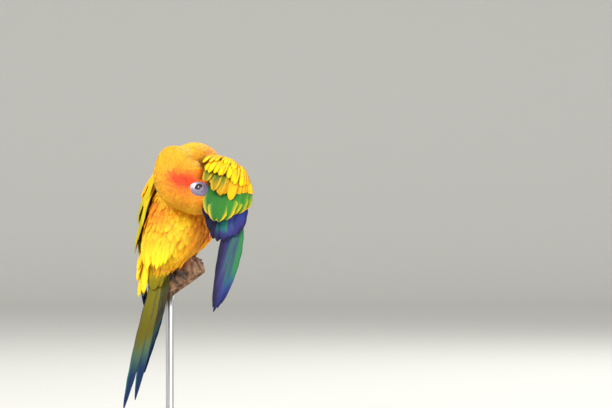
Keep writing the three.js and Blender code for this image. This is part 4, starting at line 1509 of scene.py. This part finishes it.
LEFT_TIERS = [
    Tier("primaries", Row.WINGTIP, 9, (4.4, 5.4),
         body_rows([[47, -26.5, -9], [66, -25, -9], [80, -22, -8]]),
         body_rows([[-26, -12.5, -9], [-33, -10.5, -6], [-20, -14, -3], [0, -20, 1], [18, -24.5, 4]]),
         [LOW_FACE, SIDE_FACE], bow=8.5, lift=(-0.5, -1), roll=0.12, step=0.5, outline=POINTED),
    Tier("secondaries", Row.FOLDED, 8, (5.4, 5.8),
         body_rows([[82, -22, -8], [84, -21, -1], [80, -16, 11]]),
         body_rows([[15, -27.5, -3], [12, -26.5, 5], [16, -21.5, 11.5], [27, -17.5, 15.5]]),
         [SIDE_FACE, BACK_FACE], bow=3.5, lift=(1, 0.8), roll=0.14, step=0.4),
    Tier("greater_coverts", Row.FOLDED, 8, (5.2, 5.8),
         body_rows([[80, -23, -9], [85, -22, -1], [83, -15, 12]]),
         body_rows([[40, -32.5, -7], [38, -32.5, 2], [41, -27, 10], [48, -18, 16.5]]),
         [SIDE_FACE, BACK_FACE], bow=3, lift=(2.2, 2), roll=0.16, step=0.3),
    Tier("median_coverts", Row.GOLDEN, 8, (5, 5.4),
         body_rows([[86, -22, -7], [88, -21, -1], [87, -13, 12]]),
         body_rows([[58, -34, -7], [57, -34, 2], [58, -27.5, 10.5], [63, -17, 16.5]]),
         [SIDE_FACE, BACK_FACE], bow=3, lift=(2.8, 2.8), roll=0.18, step=0.2),
    Tier("lesser_coverts", Row.GOLDEN, 9, (3.4, 3.8),
         body_rows([[90, -20, -6], [91, -18, 0], [90, -11, 10]]),
         body_rows([[72, -29, -7], [71, -29, 2], [72, -24, 10], [76, -15, 16]]),
         [SIDE_FACE, BACK_FACE], bow=2.5, lift=(3.2, 3.2), roll=0.18, step=0.2, stations=14),
]


TAIL_PAIRS = 5
TAIL_CELLS = 5  # in a row of the tail's bake map
TAIL_STATIONS = 40
COVERTS = 9  # over the tail's root


@dataclass
class Tail:
    """Five graduated pairs with the middle pair on top, and their coverts."""

    start: Array = field(default_factory=lambda: vec(-16.7, 5, 128))
    way: Array = field(default_factory=lambda: unit(vec(-22.5, -47, -107)))
    lengths: tuple = ((120, 112), (102, 95), (86, 89), (74, 76), (62, 62))  # left and right of each pair
    step: float = 0.72  # by which each feather lies under the one before

    @property
    def face(self) -> Array:
        """The way out of the tail's upper side."""
        return unit(np.cross(RIGHT, -self.way))

    def at(self, along: Array, right: Array, back: Array) -> Array:
        """Points in mm by distances along the tail, to its right and out of its upper side."""
        return Frame(self.start, self.way, RIGHT, self.face).at(along, right, back)

    def build(self, draw: np.random.Generator) -> bpy.types.Object:
        """Makes the tail's feathers.

        Args:
            draw: the seeded draws.
        Returns:
            The tail's object.
        """
        pair = np.repeat(np.arange(TAIL_PAIRS), 2)
        half = np.tile([0, 1], TAIL_PAIRS)
        side = np.where(half, 1.0, -1.0)
        length = np.array(self.lengths, float).ravel()
        depth = 1.5 - self.step * (2 * pair + half)
        root = self.at(2, side * (0.8 + 0.6 * pair), depth)
        tip = self.at(length, side * (3.8 + 0.5 * pair), depth)
        quills = self.feathers(Row.QUILL, root, tip, 4.8 - 0.25 * pair, 0.6, draw)
        spot = np.linspace(-1, 1, COVERTS)
        off = np.abs(spot)
        root = self.at(0, spot * 4, 4.4 - off)
        tip = self.at(26 - 7 * off + 2 * draw.uniform(-1, 1, COVERTS), spot * 5.5, 3.4 - 1.6 * off)
        coverts = self.feathers(Row.TAIL_COVERT, root, tip, np.full(COVERTS, 3.2), 1.5, draw)
        quills.bake_uv = cell_map(quills, 0, len(pair), TAIL_CELLS)
        coverts.bake_uv = cell_map(coverts, len(pair), COVERTS, TAIL_CELLS)
        material = plumage_material("tail_plumage", 60.0, VANE)
        return place_piece("tail_feathers", Shape.join([quills, coverts]), material, "tail_feather", "tail")

    def feathers(self, row: Row, root: Array, tip: Array, width: Array, bow: float,
                 draw: np.random.Generator) -> Shape:
        """Straight vanes with a slight bow, painted.

        Args:
            row: quills or coverts.
            root: feathers by 3.
            tip: feathers by 3.
            width: half widths.
            bow: rise of the middle.
            draw: the seeded draws.
        Returns:
            The shape.
        """
        along = np.linspace(0, 1, TAIL_STATIONS)
        outline = POINTED if row is Row.QUILL else BLUNT
        centre = curved(root, 0.5 * (root + tip) + 2 * bow * self.face, tip, TAIL_STATIONS)
        half = width[:, None] * outline.at(along)[None]
        half = half * (1 + 0.03 * np.sin(along[None] * 40 + draw.uniform(0, TAU, (len(root), 1))))
        face = np.broadcast_to(self.face, centre.shape)
        vanes = Vanes(centre, face, half, 0.12, VANE_THICK, VANE_COLUMNS, SHAFT_RIDGE)
        shape, across, station = vanes.shape()
        shape.colour = feather_paint(row, station, across, station)
        return shape


def tufts() -> list[Tier]:
    """The long soft feathers of the left flank, of the belly and of the rump, over the tail's root.

    Returns:
        Their rows.
    """
    flank_face = list(DORSAL - 0.5 * RIGHT)
    return [
        Tier("flank", Row.TUFT, 15, (2.3, 2.1),
             body_rows([[28, -21, -3], [22, -17, -3], [19, -14, 1], [17, -12, 5]]),
             [[-36, 4, 120], [-33.5, 4, 108], [-32.5, 0, 103.5], [-30, -4, 108]],
             [flank_face, list(DORSAL)], bow=1.8, lift=(0.4, 0.4), roll=0.3, outline=BODY_OUTLINE,
             stations=16, stray=0.09),
        Tier("belly", Row.BELLY, 17, (2.2, 2.0),
             body_rows([[22, 5, -6], [27, 13, -8], [34, 20, -9], [44, 25, -10]]),
             [[-4, 5, 131], [3, 5, 133], [10, 6, 137], [18, 9, 143]],
             [list(RIGHT + 0.4 * DORSAL), list(RIGHT)], bow=2.0, lift=(0.2, 0.6), roll=0.2,
             outline=BODY_OUTLINE, stations=16, stray=0.09),
        Tier("rump", Row.TUFT, 15, (2.1, 2.1),
             body_rows([[23, -14, 13.5], [21, -5, 17.5], [21, 6, 17.5], [23, 14, 13.5]]),
             body_rows([[0, -11, 11], [-6, -4, 12.5], [-6, 5, 12.5], [1, 11, 10]]),
             [flank_face, list(DORSAL), list(DORSAL + 0.5 * RIGHT)], bow=2.2, lift=(0.2, 0.8), roll=0.12,
             outline=BODY_OUTLINE, stations=16, stray=0.12),
    ]


# Head details


CORNEA_RISE = 0.35
PUPIL_RIM = (1.6, 1.9)  # radii at which the pupil ends and the iris is full
LID_THICK = 0.45
LID_RADIUS = 3.0  # of the lids' raised rim
RING_THICK = 0.7
RING_TUCK = 0.7  # how far the ring goes on under the feathers round it
HIGHLIGHT_ANGLE = 4.1  # where round the eye the painted highlight is brightest
NOSTRIL_AT = (12.9, 2.7, 7.45)  # ahead, to the side and up in the head's frame
NOSTRIL_RADIUS = 0.75
NOSTRIL_DEPTH = 0.5


@dataclass
class Face:
    """Eyes, the bare skin round them with its lids, and the bill."""

    upper_rows: list = field(default_factory=lambda: [
        [10, 1.6, 5.6, 5.2], [15.5, 2.2, 5.4, 5], [19.8, 0.6, 4.3, 4.1], [22.6, -3.8, 2.7, 2.5],
        [23.4, -9.6, 0.5, 0.5]])
    lower_rows: list = field(default_factory=lambda: [
        [8, -6.6, 4.6, 3.4], [13, -7.8, 4.4, 3.1], [17, -7.9, 3.5, 2.4], [19.4, -6.2, 1.6, 0.9]])
    cere_rows: list = field(default_factory=lambda: [
        [10.4, 2.6, 5.9, 4.9], [12.6, 3.2, 5.9, 4.7], [13.8, 3.0, 5.4, 4.9]])

    def side_height(self, ahead: Array, up: Array) -> Array:
        """Distance of the head's side from its middle plane: an ellipse across each station.

        Args:
            ahead: in the head's frame.
            up: in the head's frame.
        Returns:
            Distances in mm.
        """
        stations, *halves = np.array(HEAD_ROWS, float).T
        wide, high, deep = (np.interp(ahead, stations, half) for half in halves)
        reach = np.where(up > 0, high, deep)
        return wide * np.sqrt(np.clip(1 - (up / reach) ** 2, 0.05, 1))

    def eye(self, side: int) -> bpy.types.Object:
        """An eyeball with a bulging cornea: a sphere whose front rises by a cap over the iris.

        Args:
            side: 1 for left, -1 for right.
        Returns:
            The eye's object.
        """
        polar = np.linspace(0.03, math.pi - 0.03, 40)[:, None]
        turn = np.linspace(0, TAU, 48, endpoint=False)[None]
        radius = EYE_RADIUS + CORNEA_RISE * np.exp(-((polar / 0.55) ** 2))
        aside = side * (EYE_AT[1] + radius * np.cos(polar))
        flat = radius * np.sin(polar)
        shape = lofted(HEAD.at(EYE_AT[0] + flat * np.cos(turn), aside, EYE_AT[2] + flat * np.sin(turn)))
        ahead, out, up = HEAD.of(shape.points).T
        off = np.hypot(ahead - EYE_AT[0], up - EYE_AT[2])
        shape.colour = lay(
            np.zeros_like(shape.points),
            (Paint.PUPIL, 1.0),
            (Paint.IRIS, ease(off, *PUPIL_RIM)),
            (Paint.EYE_BACK, side * out <= EYE_AT[1]),
        )
        end = "left" if side > 0 else "right"
        gloss = painted_material(f"eyeball_{end}_gloss", EYE)
        return place_piece(f"eyeball_{end}", shape, gloss, "eye_glass", f"eye_{end}")

    def ring_heights(self, skin: Skin, side: int, radius: Array, ahead: Array, up: Array) -> Array:
        """How far the bare ring stands out: lids over the eyeball, then wrinkled skin on the cheek.

        Args:
            skin: of the body, over which the ring lies.
            side: 1 for left, -1 for right.
            radius: from the eye's middle, as a column.
            ahead: places in the head's frame.
            up: places in the head's frame.
        Returns:
            Distances from the head's middle plane, before the wrinkles.
        """
        lid = np.sqrt(np.maximum(0.3, (EYE_RADIUS + LID_THICK) ** 2 - radius**2)) + EYE_AT[1]
        lip = 0.25 * np.exp(-(((radius - LID_RADIUS) / 0.35) ** 2))
        mix = ease(radius, LID_RADIUS, 5.2)
        guess = lid * (1 - mix) + (self.side_height(ahead, up) - 0.2) * mix + lip
        below, _ = skin.nearest(HEAD.at(ahead, side * guess, up).reshape(-1, 3))
        floor = side * HEAD.of(below)[:, 1].reshape(guess.shape) + 0.4
        flush = lid * (1 - mix) + (floor - 0.1) * mix + lip
        return np.maximum(flush, floor - 0.15)

    def ring(self, skin: Skin, side: int) -> Shape:
        """The bare ring of one eye: wrinkled rows of points round the eye, over a parallel underside.

        Args:
            skin: of the body.
            side: 1 for left, -1 for right.
        Returns:
            The painted shape.
        """
        outer = BARE_RADIUS + RING_TUCK
        radius = np.concatenate([np.linspace(2.45, 3.3, 8), np.linspace(3.4, outer, 26)])[:, None]
        turn = np.linspace(0, TAU, 120, endpoint=False)[None]
        almond = 1 + 0.09 * np.cos(2 * turn) * (1 - ease(radius, 2.4, 5))
        ahead = EYE_AT[0] + radius * almond * np.cos(turn)
        up = EYE_AT[2] + radius / almond * 0.96 * np.sin(turn)
        folds = 0.1 * np.sin(radius * 6.5 + 1.1 * np.sin(3 * turn + radius)) * ease(radius, 3.3, 4.0)
        grain = 0.07 * np.sin(26 * turn + 5 * np.sin(radius * 2.3)) * ease(radius, 3.2, 4.0)
        sunk = 1.4 * ease(radius, BARE_RADIUS - 0.2, outer)
        height = self.ring_heights(skin, side, radius, ahead, up) + folds + grain - sunk
        top = HEAD.at(ahead, side * height, up)
        under = HEAD.at(ahead, side * (height - RING_THICK), up)
        rows = np.concatenate([top, under[::-1]])
        count, sides, _ = rows.shape
        index = np.arange(count * sides).reshape(count, sides)
        quads = closed_ring_quads(np.concatenate([index, index[:1]]))
        own = np.stack([np.tile(np.abs(np.linspace(-1, 1, sides)), count),
                        np.repeat(np.linspace(0, 1, count), sides)], axis=1)
        reach = np.repeat(np.concatenate([radius, radius[::-1]]), sides)
        return Shape(
            rows.reshape(-1, 3),
            quads[:, ::-1] if side > 0 else quads,
            own_uv=own,
            bake_uv=own * (0.45, 0.9) + (0.02 if side > 0 else 0.52),
            colour=self.ring_colours(reach, np.tile(turn.ravel(), count)),
        )

    def ring_colours(self, reach: Array, around: Array) -> Array:
        """Grey-violet skin with a painted highlight behind the eye, painted shade outward and in the folds,
        and dark painted shade along the lids.

        Args:
            reach: distance from the eye's middle.
            around: angle round it.
        Returns:
            Linear colours.
        """
        # painted highlight: the ring is lightest on one side of the eye
        highlight = np.exp(6 * (np.cos(around - HIGHLIGHT_ANGLE) - 1))
        # painted shade in the creases of the wrinkled skin
        wave = reach + 0.17 * np.sin(3 * around + reach) + 0.05 * np.sin(17 * around)
        crease_shade = ease(np.sin(6.5 * wave), 0.2, 0.9) * ease(reach, 3.3, 3.8)
        return lay(
            np.zeros((len(reach), 3)),
            (Paint.RING, 1.0),
            # painted shade: darker outward, except on the highlighted side
            (Paint.RING_SHADE, 0.8 * ease(reach, 3.4, 5.0) * (1 - highlight)),
            (Paint.RING_HIGHLIGHT, 0.85 * highlight * ease(reach, 2.9, 3.3)),
            # painted shade in the folds and in the fine creases across them
            (Paint.RING_CREASE_SHADE, 0.6 * crease_shade * (1 - 0.75 * highlight)),
            (Paint.RING_CREASE_SHADE, 0.35 * ease(np.sin(26 * around + 3 * reach), 0.4, 1)),
            # painted shade along the lid line, where the lids meet the eye
            (Paint.LID_SHADE, 1 - ease(reach, 2.55, 2.95)),
        )

    def bill_half(self, rows: list, grow: float) -> Shape:
        """Half of the bill: ellipses along a curve in the head's middle plane.

        Args:
            rows: distance forward, height, half width and half depth.
            grow: added to the half sizes.
        Returns:
            The closed shape.
        """
        share = np.linspace(0, 1, 44)[:, None]
        ahead, up, wide, deep = (row[:, None] for row in spline(rows, share.ravel()).T)
        way = unit(np.column_stack([np.gradient(ahead.ravel()), np.gradient(up.ravel())]))
        turn = np.linspace(0, TAU, 40, endpoint=False)[None]
        ridge = 1 + 0.04 * np.maximum(0, np.sin(turn)) ** 8
        growth = grow + 0.05 * np.sin(share * 60) * ease(share, 0.1, 0.3)
        rise = (deep + growth) * np.sin(turn) * ridge
        aside = (wide + growth) * np.cos(turn)
        return lofted(HEAD.at(ahead - way[:, 1:] * rise, aside, up + way[:, :1] * rise))

    def nostril(self, side: int) -> Shape:
        """A flat dark ball in the cere.

        Args:
            side: 1 for left, -1 for right.
        Returns:
            The closed shape.
        """
        polar = np.linspace(0.05, math.pi - 0.05, 14)[:, None]
        turn = np.linspace(0, TAU, 20, endpoint=False)[None]
        ahead, aside, up = NOSTRIL_AT
        flat = NOSTRIL_RADIUS * np.sin(polar)
        return lofted(HEAD.at(ahead + flat * np.cos(turn), side * aside + flat * np.sin(turn),
                              up + NOSTRIL_DEPTH * np.cos(polar)))

    def bill(self) -> None:
        """Both halves of the bill with the pale cere at the nostrils."""
        horn = mottled_material("bill_horn", HORN, "#4A4442", 2.2, 0.08)
        place_piece("bill_top", self.bill_half(self.upper_rows, -0.05), horn, "bill_horn", "bill_upper")
        place_piece("bill_under", self.bill_half(self.lower_rows, -0.3), horn, "bill_horn", "bill_lower")
        skin = mottled_material("cere_skin", CERE, "#9A8E92", 1.5, 0.06)
        place_piece("cere", self.bill_half(self.cere_rows, -0.05), skin, "foot_skin")
        dark, _ = base_material("nostril_dark", DARK)
        place_piece("nostrils", Shape.join([self.nostril(side) for side in (1, -1)]), dark, "bill_horn")

    def build(self, skin: Skin) -> None:
        """Makes all the pieces of the face.

        Args:
            skin: of the body.
        """
        for side in (1, -1):
            self.eye(side)
        rings = Shape.join([self.ring(skin, side) for side in (1, -1)])
        place_piece("eye_rings", rings, painted_material("bare_skin", BARE_SKIN), "foot_skin")
        self.bill()


# Feet, perch and stand


FOOT_SCALES = 9  # ring scales along a toe
CLAW_LENGTH = 6  # round the bark, in mm


@dataclass(frozen=True)
class Toe:
    """A toe's way round the perch (1 front, -1 back), its sideways spread in mm and its reach as an angle."""

    way: int
    spread: float
    reach: float


@dataclass
class Feet:
    """Two zygodactyl feet round the perch: scaled toes and shank, and separate claws."""

    toes: tuple = (Toe(1, 4.2, 1.75), Toe(1, -2.6, 1.45), Toe(-1, 3.6, 1.5), Toe(-1, -3.4, 1.15))

    def toe(self, side: str, toe: Toe) -> Shape:
        """One toe over the bark with ring scales.

        Args:
            side: right or left foot.
            toe: which toe.
        Returns:
            The toe's shape.
        """
        step = np.linspace(0, 1, 9)
        radius = TOE_RADIUS * (1 - 0.28 * step)
        share = FOOT_SHARES[side] + toe.spread * np.sqrt(step) / PERCH_LENGTH
        spots = on_perch(share, toe.way * (0.05 + toe.reach * step), TOE_LIFT + radius)
        rings = tube(np.column_stack([spots, radius]).tolist(), 20, 60)
        centre = rings.mean(axis=1, keepdims=True)
        scales = 1 + 0.07 * np.abs(np.sin(np.linspace(0, FOOT_SCALES * math.pi, len(rings))))
        return lofted(centre + (rings - centre) * (scales - 0.03)[:, None, None])

    def claw(self, side: str, toe: Toe) -> Shape:
        """The curved claw at a toe's end.

        Args:
            side: right or left foot.
            toe: which toe.
        Returns:
            The claw's shape.
        """
        step = np.linspace(0, 1, 8)
        size = 1.1 * (1 - step) + 0.16
        turn = toe.way * (toe.reach + CLAW_LENGTH / PERCH_RADIUS * step)
        over = TOE_LIFT + 1.5 * (1 - step**2) + 0.3
        spots = on_perch(np.full(8, FOOT_SHARES[side] + toe.spread / PERCH_LENGTH), turn, over)
        return lofted(tube(np.column_stack([spots, size]).tolist(), 16, 24))

    def shank(self, side: str) -> Shape:
        """The bare part of a leg from the ankle to the sole.

        Args:
            side: right or left leg.
        Returns:
            The closed shape.
        """
        ankle = np.array(leg_stops(side)[-1][:3])
        sole = on_perch(FOOT_SHARES[side], 0.0, TOE_LIFT + SHANK_RADIUS)
        middle = [*(0.5 * (ankle + sole)), SHANK_RADIUS - 0.2]
        return lofted(tube([[*ankle, SHANK_RADIUS], middle, [*sole, SHANK_RADIUS]], 20, 24))

    def build(self) -> None:
        """Makes the feet and claws."""
        feet, claws = [], []
        for side in FOOT_SHARES:
            feet += [self.toe(side, toe) for toe in self.toes]
            feet.append(self.shank(side))
            claws += [self.claw(side, toe) for toe in self.toes]
        skin = mottled_material("foot_scales", FOOT_SKIN, "#57504C", 1.4, 0.12)
        horn = mottled_material("claw_horn", HORN, "#3C3636", 1.5, 0.04)
        place_piece("feet", Shape.join(feet), skin, "foot_skin", "foot_right", "foot_left")
        place_piece("claws", Shape.join(claws), horn, "bill_horn")


@dataclass
class Stand:
    """The stub of branch on its rod and round base."""

    base_radius: float = 66.0
    base_height: float = 10.0
    bevel: float = 1.6
    rod_at: tuple = (-12, 18)
    rod_radius: float = 2.95
    rod_foot: float = 3.3  # radius where the rod leaves the base
    rod_share: float = 0.42  # of the perch's length, where the rod enters it

    def turned(self, radius: Array, height: Array, sides: int, middle: tuple = (0, 0)) -> Shape:
        """A round solid from its radii at its heights.

        Args:
            radius: from the bottom up.
            height: of each radius.
            sides: points in a ring.
            middle: x and y of the axis.
        Returns:
            The closed shape.
        """
        turn = np.linspace(0, TAU, sides, endpoint=False)
        x, y = middle[0] + radius[:, None] * np.cos(turn), middle[1] + radius[:, None] * np.sin(turn)
        return lofted(np.stack([x, y, np.broadcast_to(height[:, None], x.shape)], -1))

    def perch(self) -> None:
        """The stub: its ridged radius with fine cracks along it and a splintered upper end."""
        share = np.concatenate([[0, 0.006, 0.015], np.linspace(0.03, 0.93, 90), np.linspace(0.94, 1, 12)])
        turn = np.linspace(0, TAU, 160, endpoint=False)
        at, around = np.meshgrid(share, turn, indexing="ij")
        cracks = -0.28 * np.abs(np.sin(11 * around + 1.6 * np.sin(6 * at + 2 * np.sin(3 * around)))) ** 6
        cracks = cracks - 0.14 * np.abs(np.sin(29 * around + 2.2 * np.sin(9 * at))) ** 4
        low = -0.9 * (1 - ease(at, 0, 0.02))
        broken = -2.6 * ease(at, 0.955, 1.0) ** 2
        splinter = (1.3 * np.sin(5 * around + 1) * np.sin(9 * around) - 0.6) * ease(at, 0.95, 1.0)
        rings = on_perch(at, around, 0.12 + cracks + low + broken) + splinter[..., None] * PERCH_AXIS
        bark = mottled_material("perch_bark", BARK, "#A98566", 4.0, 0.8, (1.0, 1.0, 0.45))
        place_piece("perch_stub", lofted(rings), bark, "branch_wood", "perch")

    def base(self) -> None:
        """The round base with its rounded rim."""
        full = self.base_radius
        corner = np.linspace(0, math.pi / 2, 8)
        radius = np.concatenate([[0.5, full - 0.4, full], full - self.bevel * (1 - np.cos(corner)),
                                 [full - 6, full - 30, 0.5]])
        height = np.concatenate([[0, 0, 0.4], self.base_height - self.bevel * (1 - np.sin(corner)),
                                 np.full(3, self.base_height)])
        beech = mottled_material("base_beech", BEECH, "#B58E60", 9.0, 0.05, (0.25, 3.0, 1.0))
        place_piece("stand_disc", self.turned(radius, height, 128), beech, "stand_wood", "stand_base")

    def rod(self) -> None:
        """The steel rod, a little wider where it leaves the base, with its end in the stub."""
        top = on_perch(self.rod_share, math.pi)[2] + 2
        height = np.concatenate([[self.base_height, self.base_height + 0.4], np.linspace(12, top, 6)])
        radius = np.repeat([self.rod_foot, self.rod_radius], (2, 6))
        rod = self.turned(radius, height, 64, self.rod_at)
        steel, _ = base_material("rod_steel", STEEL)
        place_piece("stand_pin", rod, steel, "stand_steel", "stand_rod")

    def build(self) -> None:
        """Makes the perch, the base and the rod."""
        self.perch()
        self.base()
        self.rod()


# Stage


@dataclass(frozen=True)
class Lamp:
    """A soft square lamp: its place and width in metres and its power in watts."""

    name: str
    place: tuple[float, float, float]
    size: float
    power: float


LAMPS = (
    Lamp("key", (-0.9, -1.3, 1.5), 1.1, 50),
    Lamp("fill", (1.1, -1.6, 0.5), 1.4, 33),
    Lamp("rim", (0.7, 1.1, 1.2), 0.8, 16),
)
LAMP_TARGET = (0.0, 0.0, 0.15)  # in metres
WORLD_STRENGTH = 0.92


@dataclass
class Stage:
    """Plain pale floor, soft studio light and the camera at the photo's angle."""

    camera_at: tuple = (0.0895, -2.5, 0.1702)
    lens: float = 198.7
    near: float = -6000  # mm along the view, where the floor starts
    far: float = 3200  # where it bends up
    bend: float = 900  # radius of the bend
    wall: float = 3500
    side: float = 6000

    def floor(self) -> None:
        """A floor that bends up into a wall far behind the object: flat, a quarter circle, upright."""
        run = np.linspace(0, 1, 60)
        turn = np.clip((run - 0.4) / 0.3, 0, 1) * math.pi / 2
        flat = self.near + run / 0.4 * (self.far - self.near)
        depth = np.where(run < 0.4, flat, self.far + self.bend * np.sin(turn))
        rise = np.where(run < 0.4, 0, self.bend * (1 - np.cos(turn)))
        height = rise + np.clip(run - 0.7, 0, 1) / 0.3 * self.wall
        x, y = np.meshgrid(np.linspace(-self.side, self.side, 12), depth)
        points = np.stack([x, y, np.broadcast_to(height[:, None], x.shape)], -1).reshape(-1, 3)
        index = np.arange(x.size).reshape(x.shape)
        quads = np.stack([index[:-1, :-1], index[:-1, 1:], index[1:, 1:], index[1:, :-1]], -1).reshape(-1, 4)
        floor = linked("floor", Shape(points, quads).mesh("floor"))
        floor.data.materials.append(base_material("paper", PAPER)[0])

    def light(self, lamp: Lamp) -> None:
        """Hangs one lamp and turns it to the object.

        Args:
            lamp: which one.
        """
        area = bpy.data.lights.new(lamp.name, "AREA")
        area.size = lamp.size
        area.energy = lamp.power
        made = linked(lamp.name, area)
        made.location = lamp.place
        way = Vector(LAMP_TARGET) - Vector(lamp.place)
        made.rotation_euler = way.to_track_quat("-Z", "Y").to_euler()

    def camera(self) -> None:
        """The camera level with the bird, at the photo's angle."""
        lens = bpy.data.cameras.new("camera")
        lens.lens = self.lens
        lens.sensor_width = 36
        lens.clip_end = 30
        camera = linked("camera", lens)
        camera.location = self.camera_at
        camera.rotation_euler = (math.pi / 2, 0, 0)
        bpy.context.scene.camera = camera

    def build(self) -> None:
        """Makes the floor with its curved backdrop, the lights, the world and the camera."""
        self.floor()
        for lamp in LAMPS:
            self.light(lamp)
        world = bpy.data.worlds.new("studio")
        world.use_nodes = True
        sky = world.node_tree.nodes["Background"].inputs
        sky["Color"].default_value = (1, 1, 1, 1)
        sky["Strength"].default_value = WORLD_STRENGTH
        bpy.context.scene.world = world
        bpy.context.scene.view_settings.view_transform = "Standard"
        self.camera()


# The whole


@dataclass
class Conure:
    """The whole bird."""

    draw: np.random.Generator = field(default_factory=lambda: np.random.default_rng(SEED))

    def build(self) -> None:
        """Makes the skin, its coats, the wings, the tail, the face and the feet."""
        lie = Lie()
        skin = Skin()
        skin.build(lie)
        for kind in COATS:
            Coat(kind, skin, lie, self.draw).build()
        wing = plumage_material("wing_plumage", 40.0, VANE)
        for side, tiers in (("right", RIGHT_TIERS), ("left", LEFT_TIERS)):
            shape = tiers_shape(tiers, self.draw)
            place_piece(f"wing_feathers_{side}", shape, wing, "wing_feather", f"wing_{side}")
        soft = tiers_shape(tufts(), self.draw)
        place_piece("rump_tufts", soft, plumage_material("tuft_plumage", 30.0), "golden_feather")
        Tail().build(self.draw)
        Face().build(skin)
        Feet().build()


def main() -> None:
    """Builds the bird, its stand and the stage."""
    Conure().build()
    Stand().build()
    Stage().build()


if __name__ == "__main__":
    main()
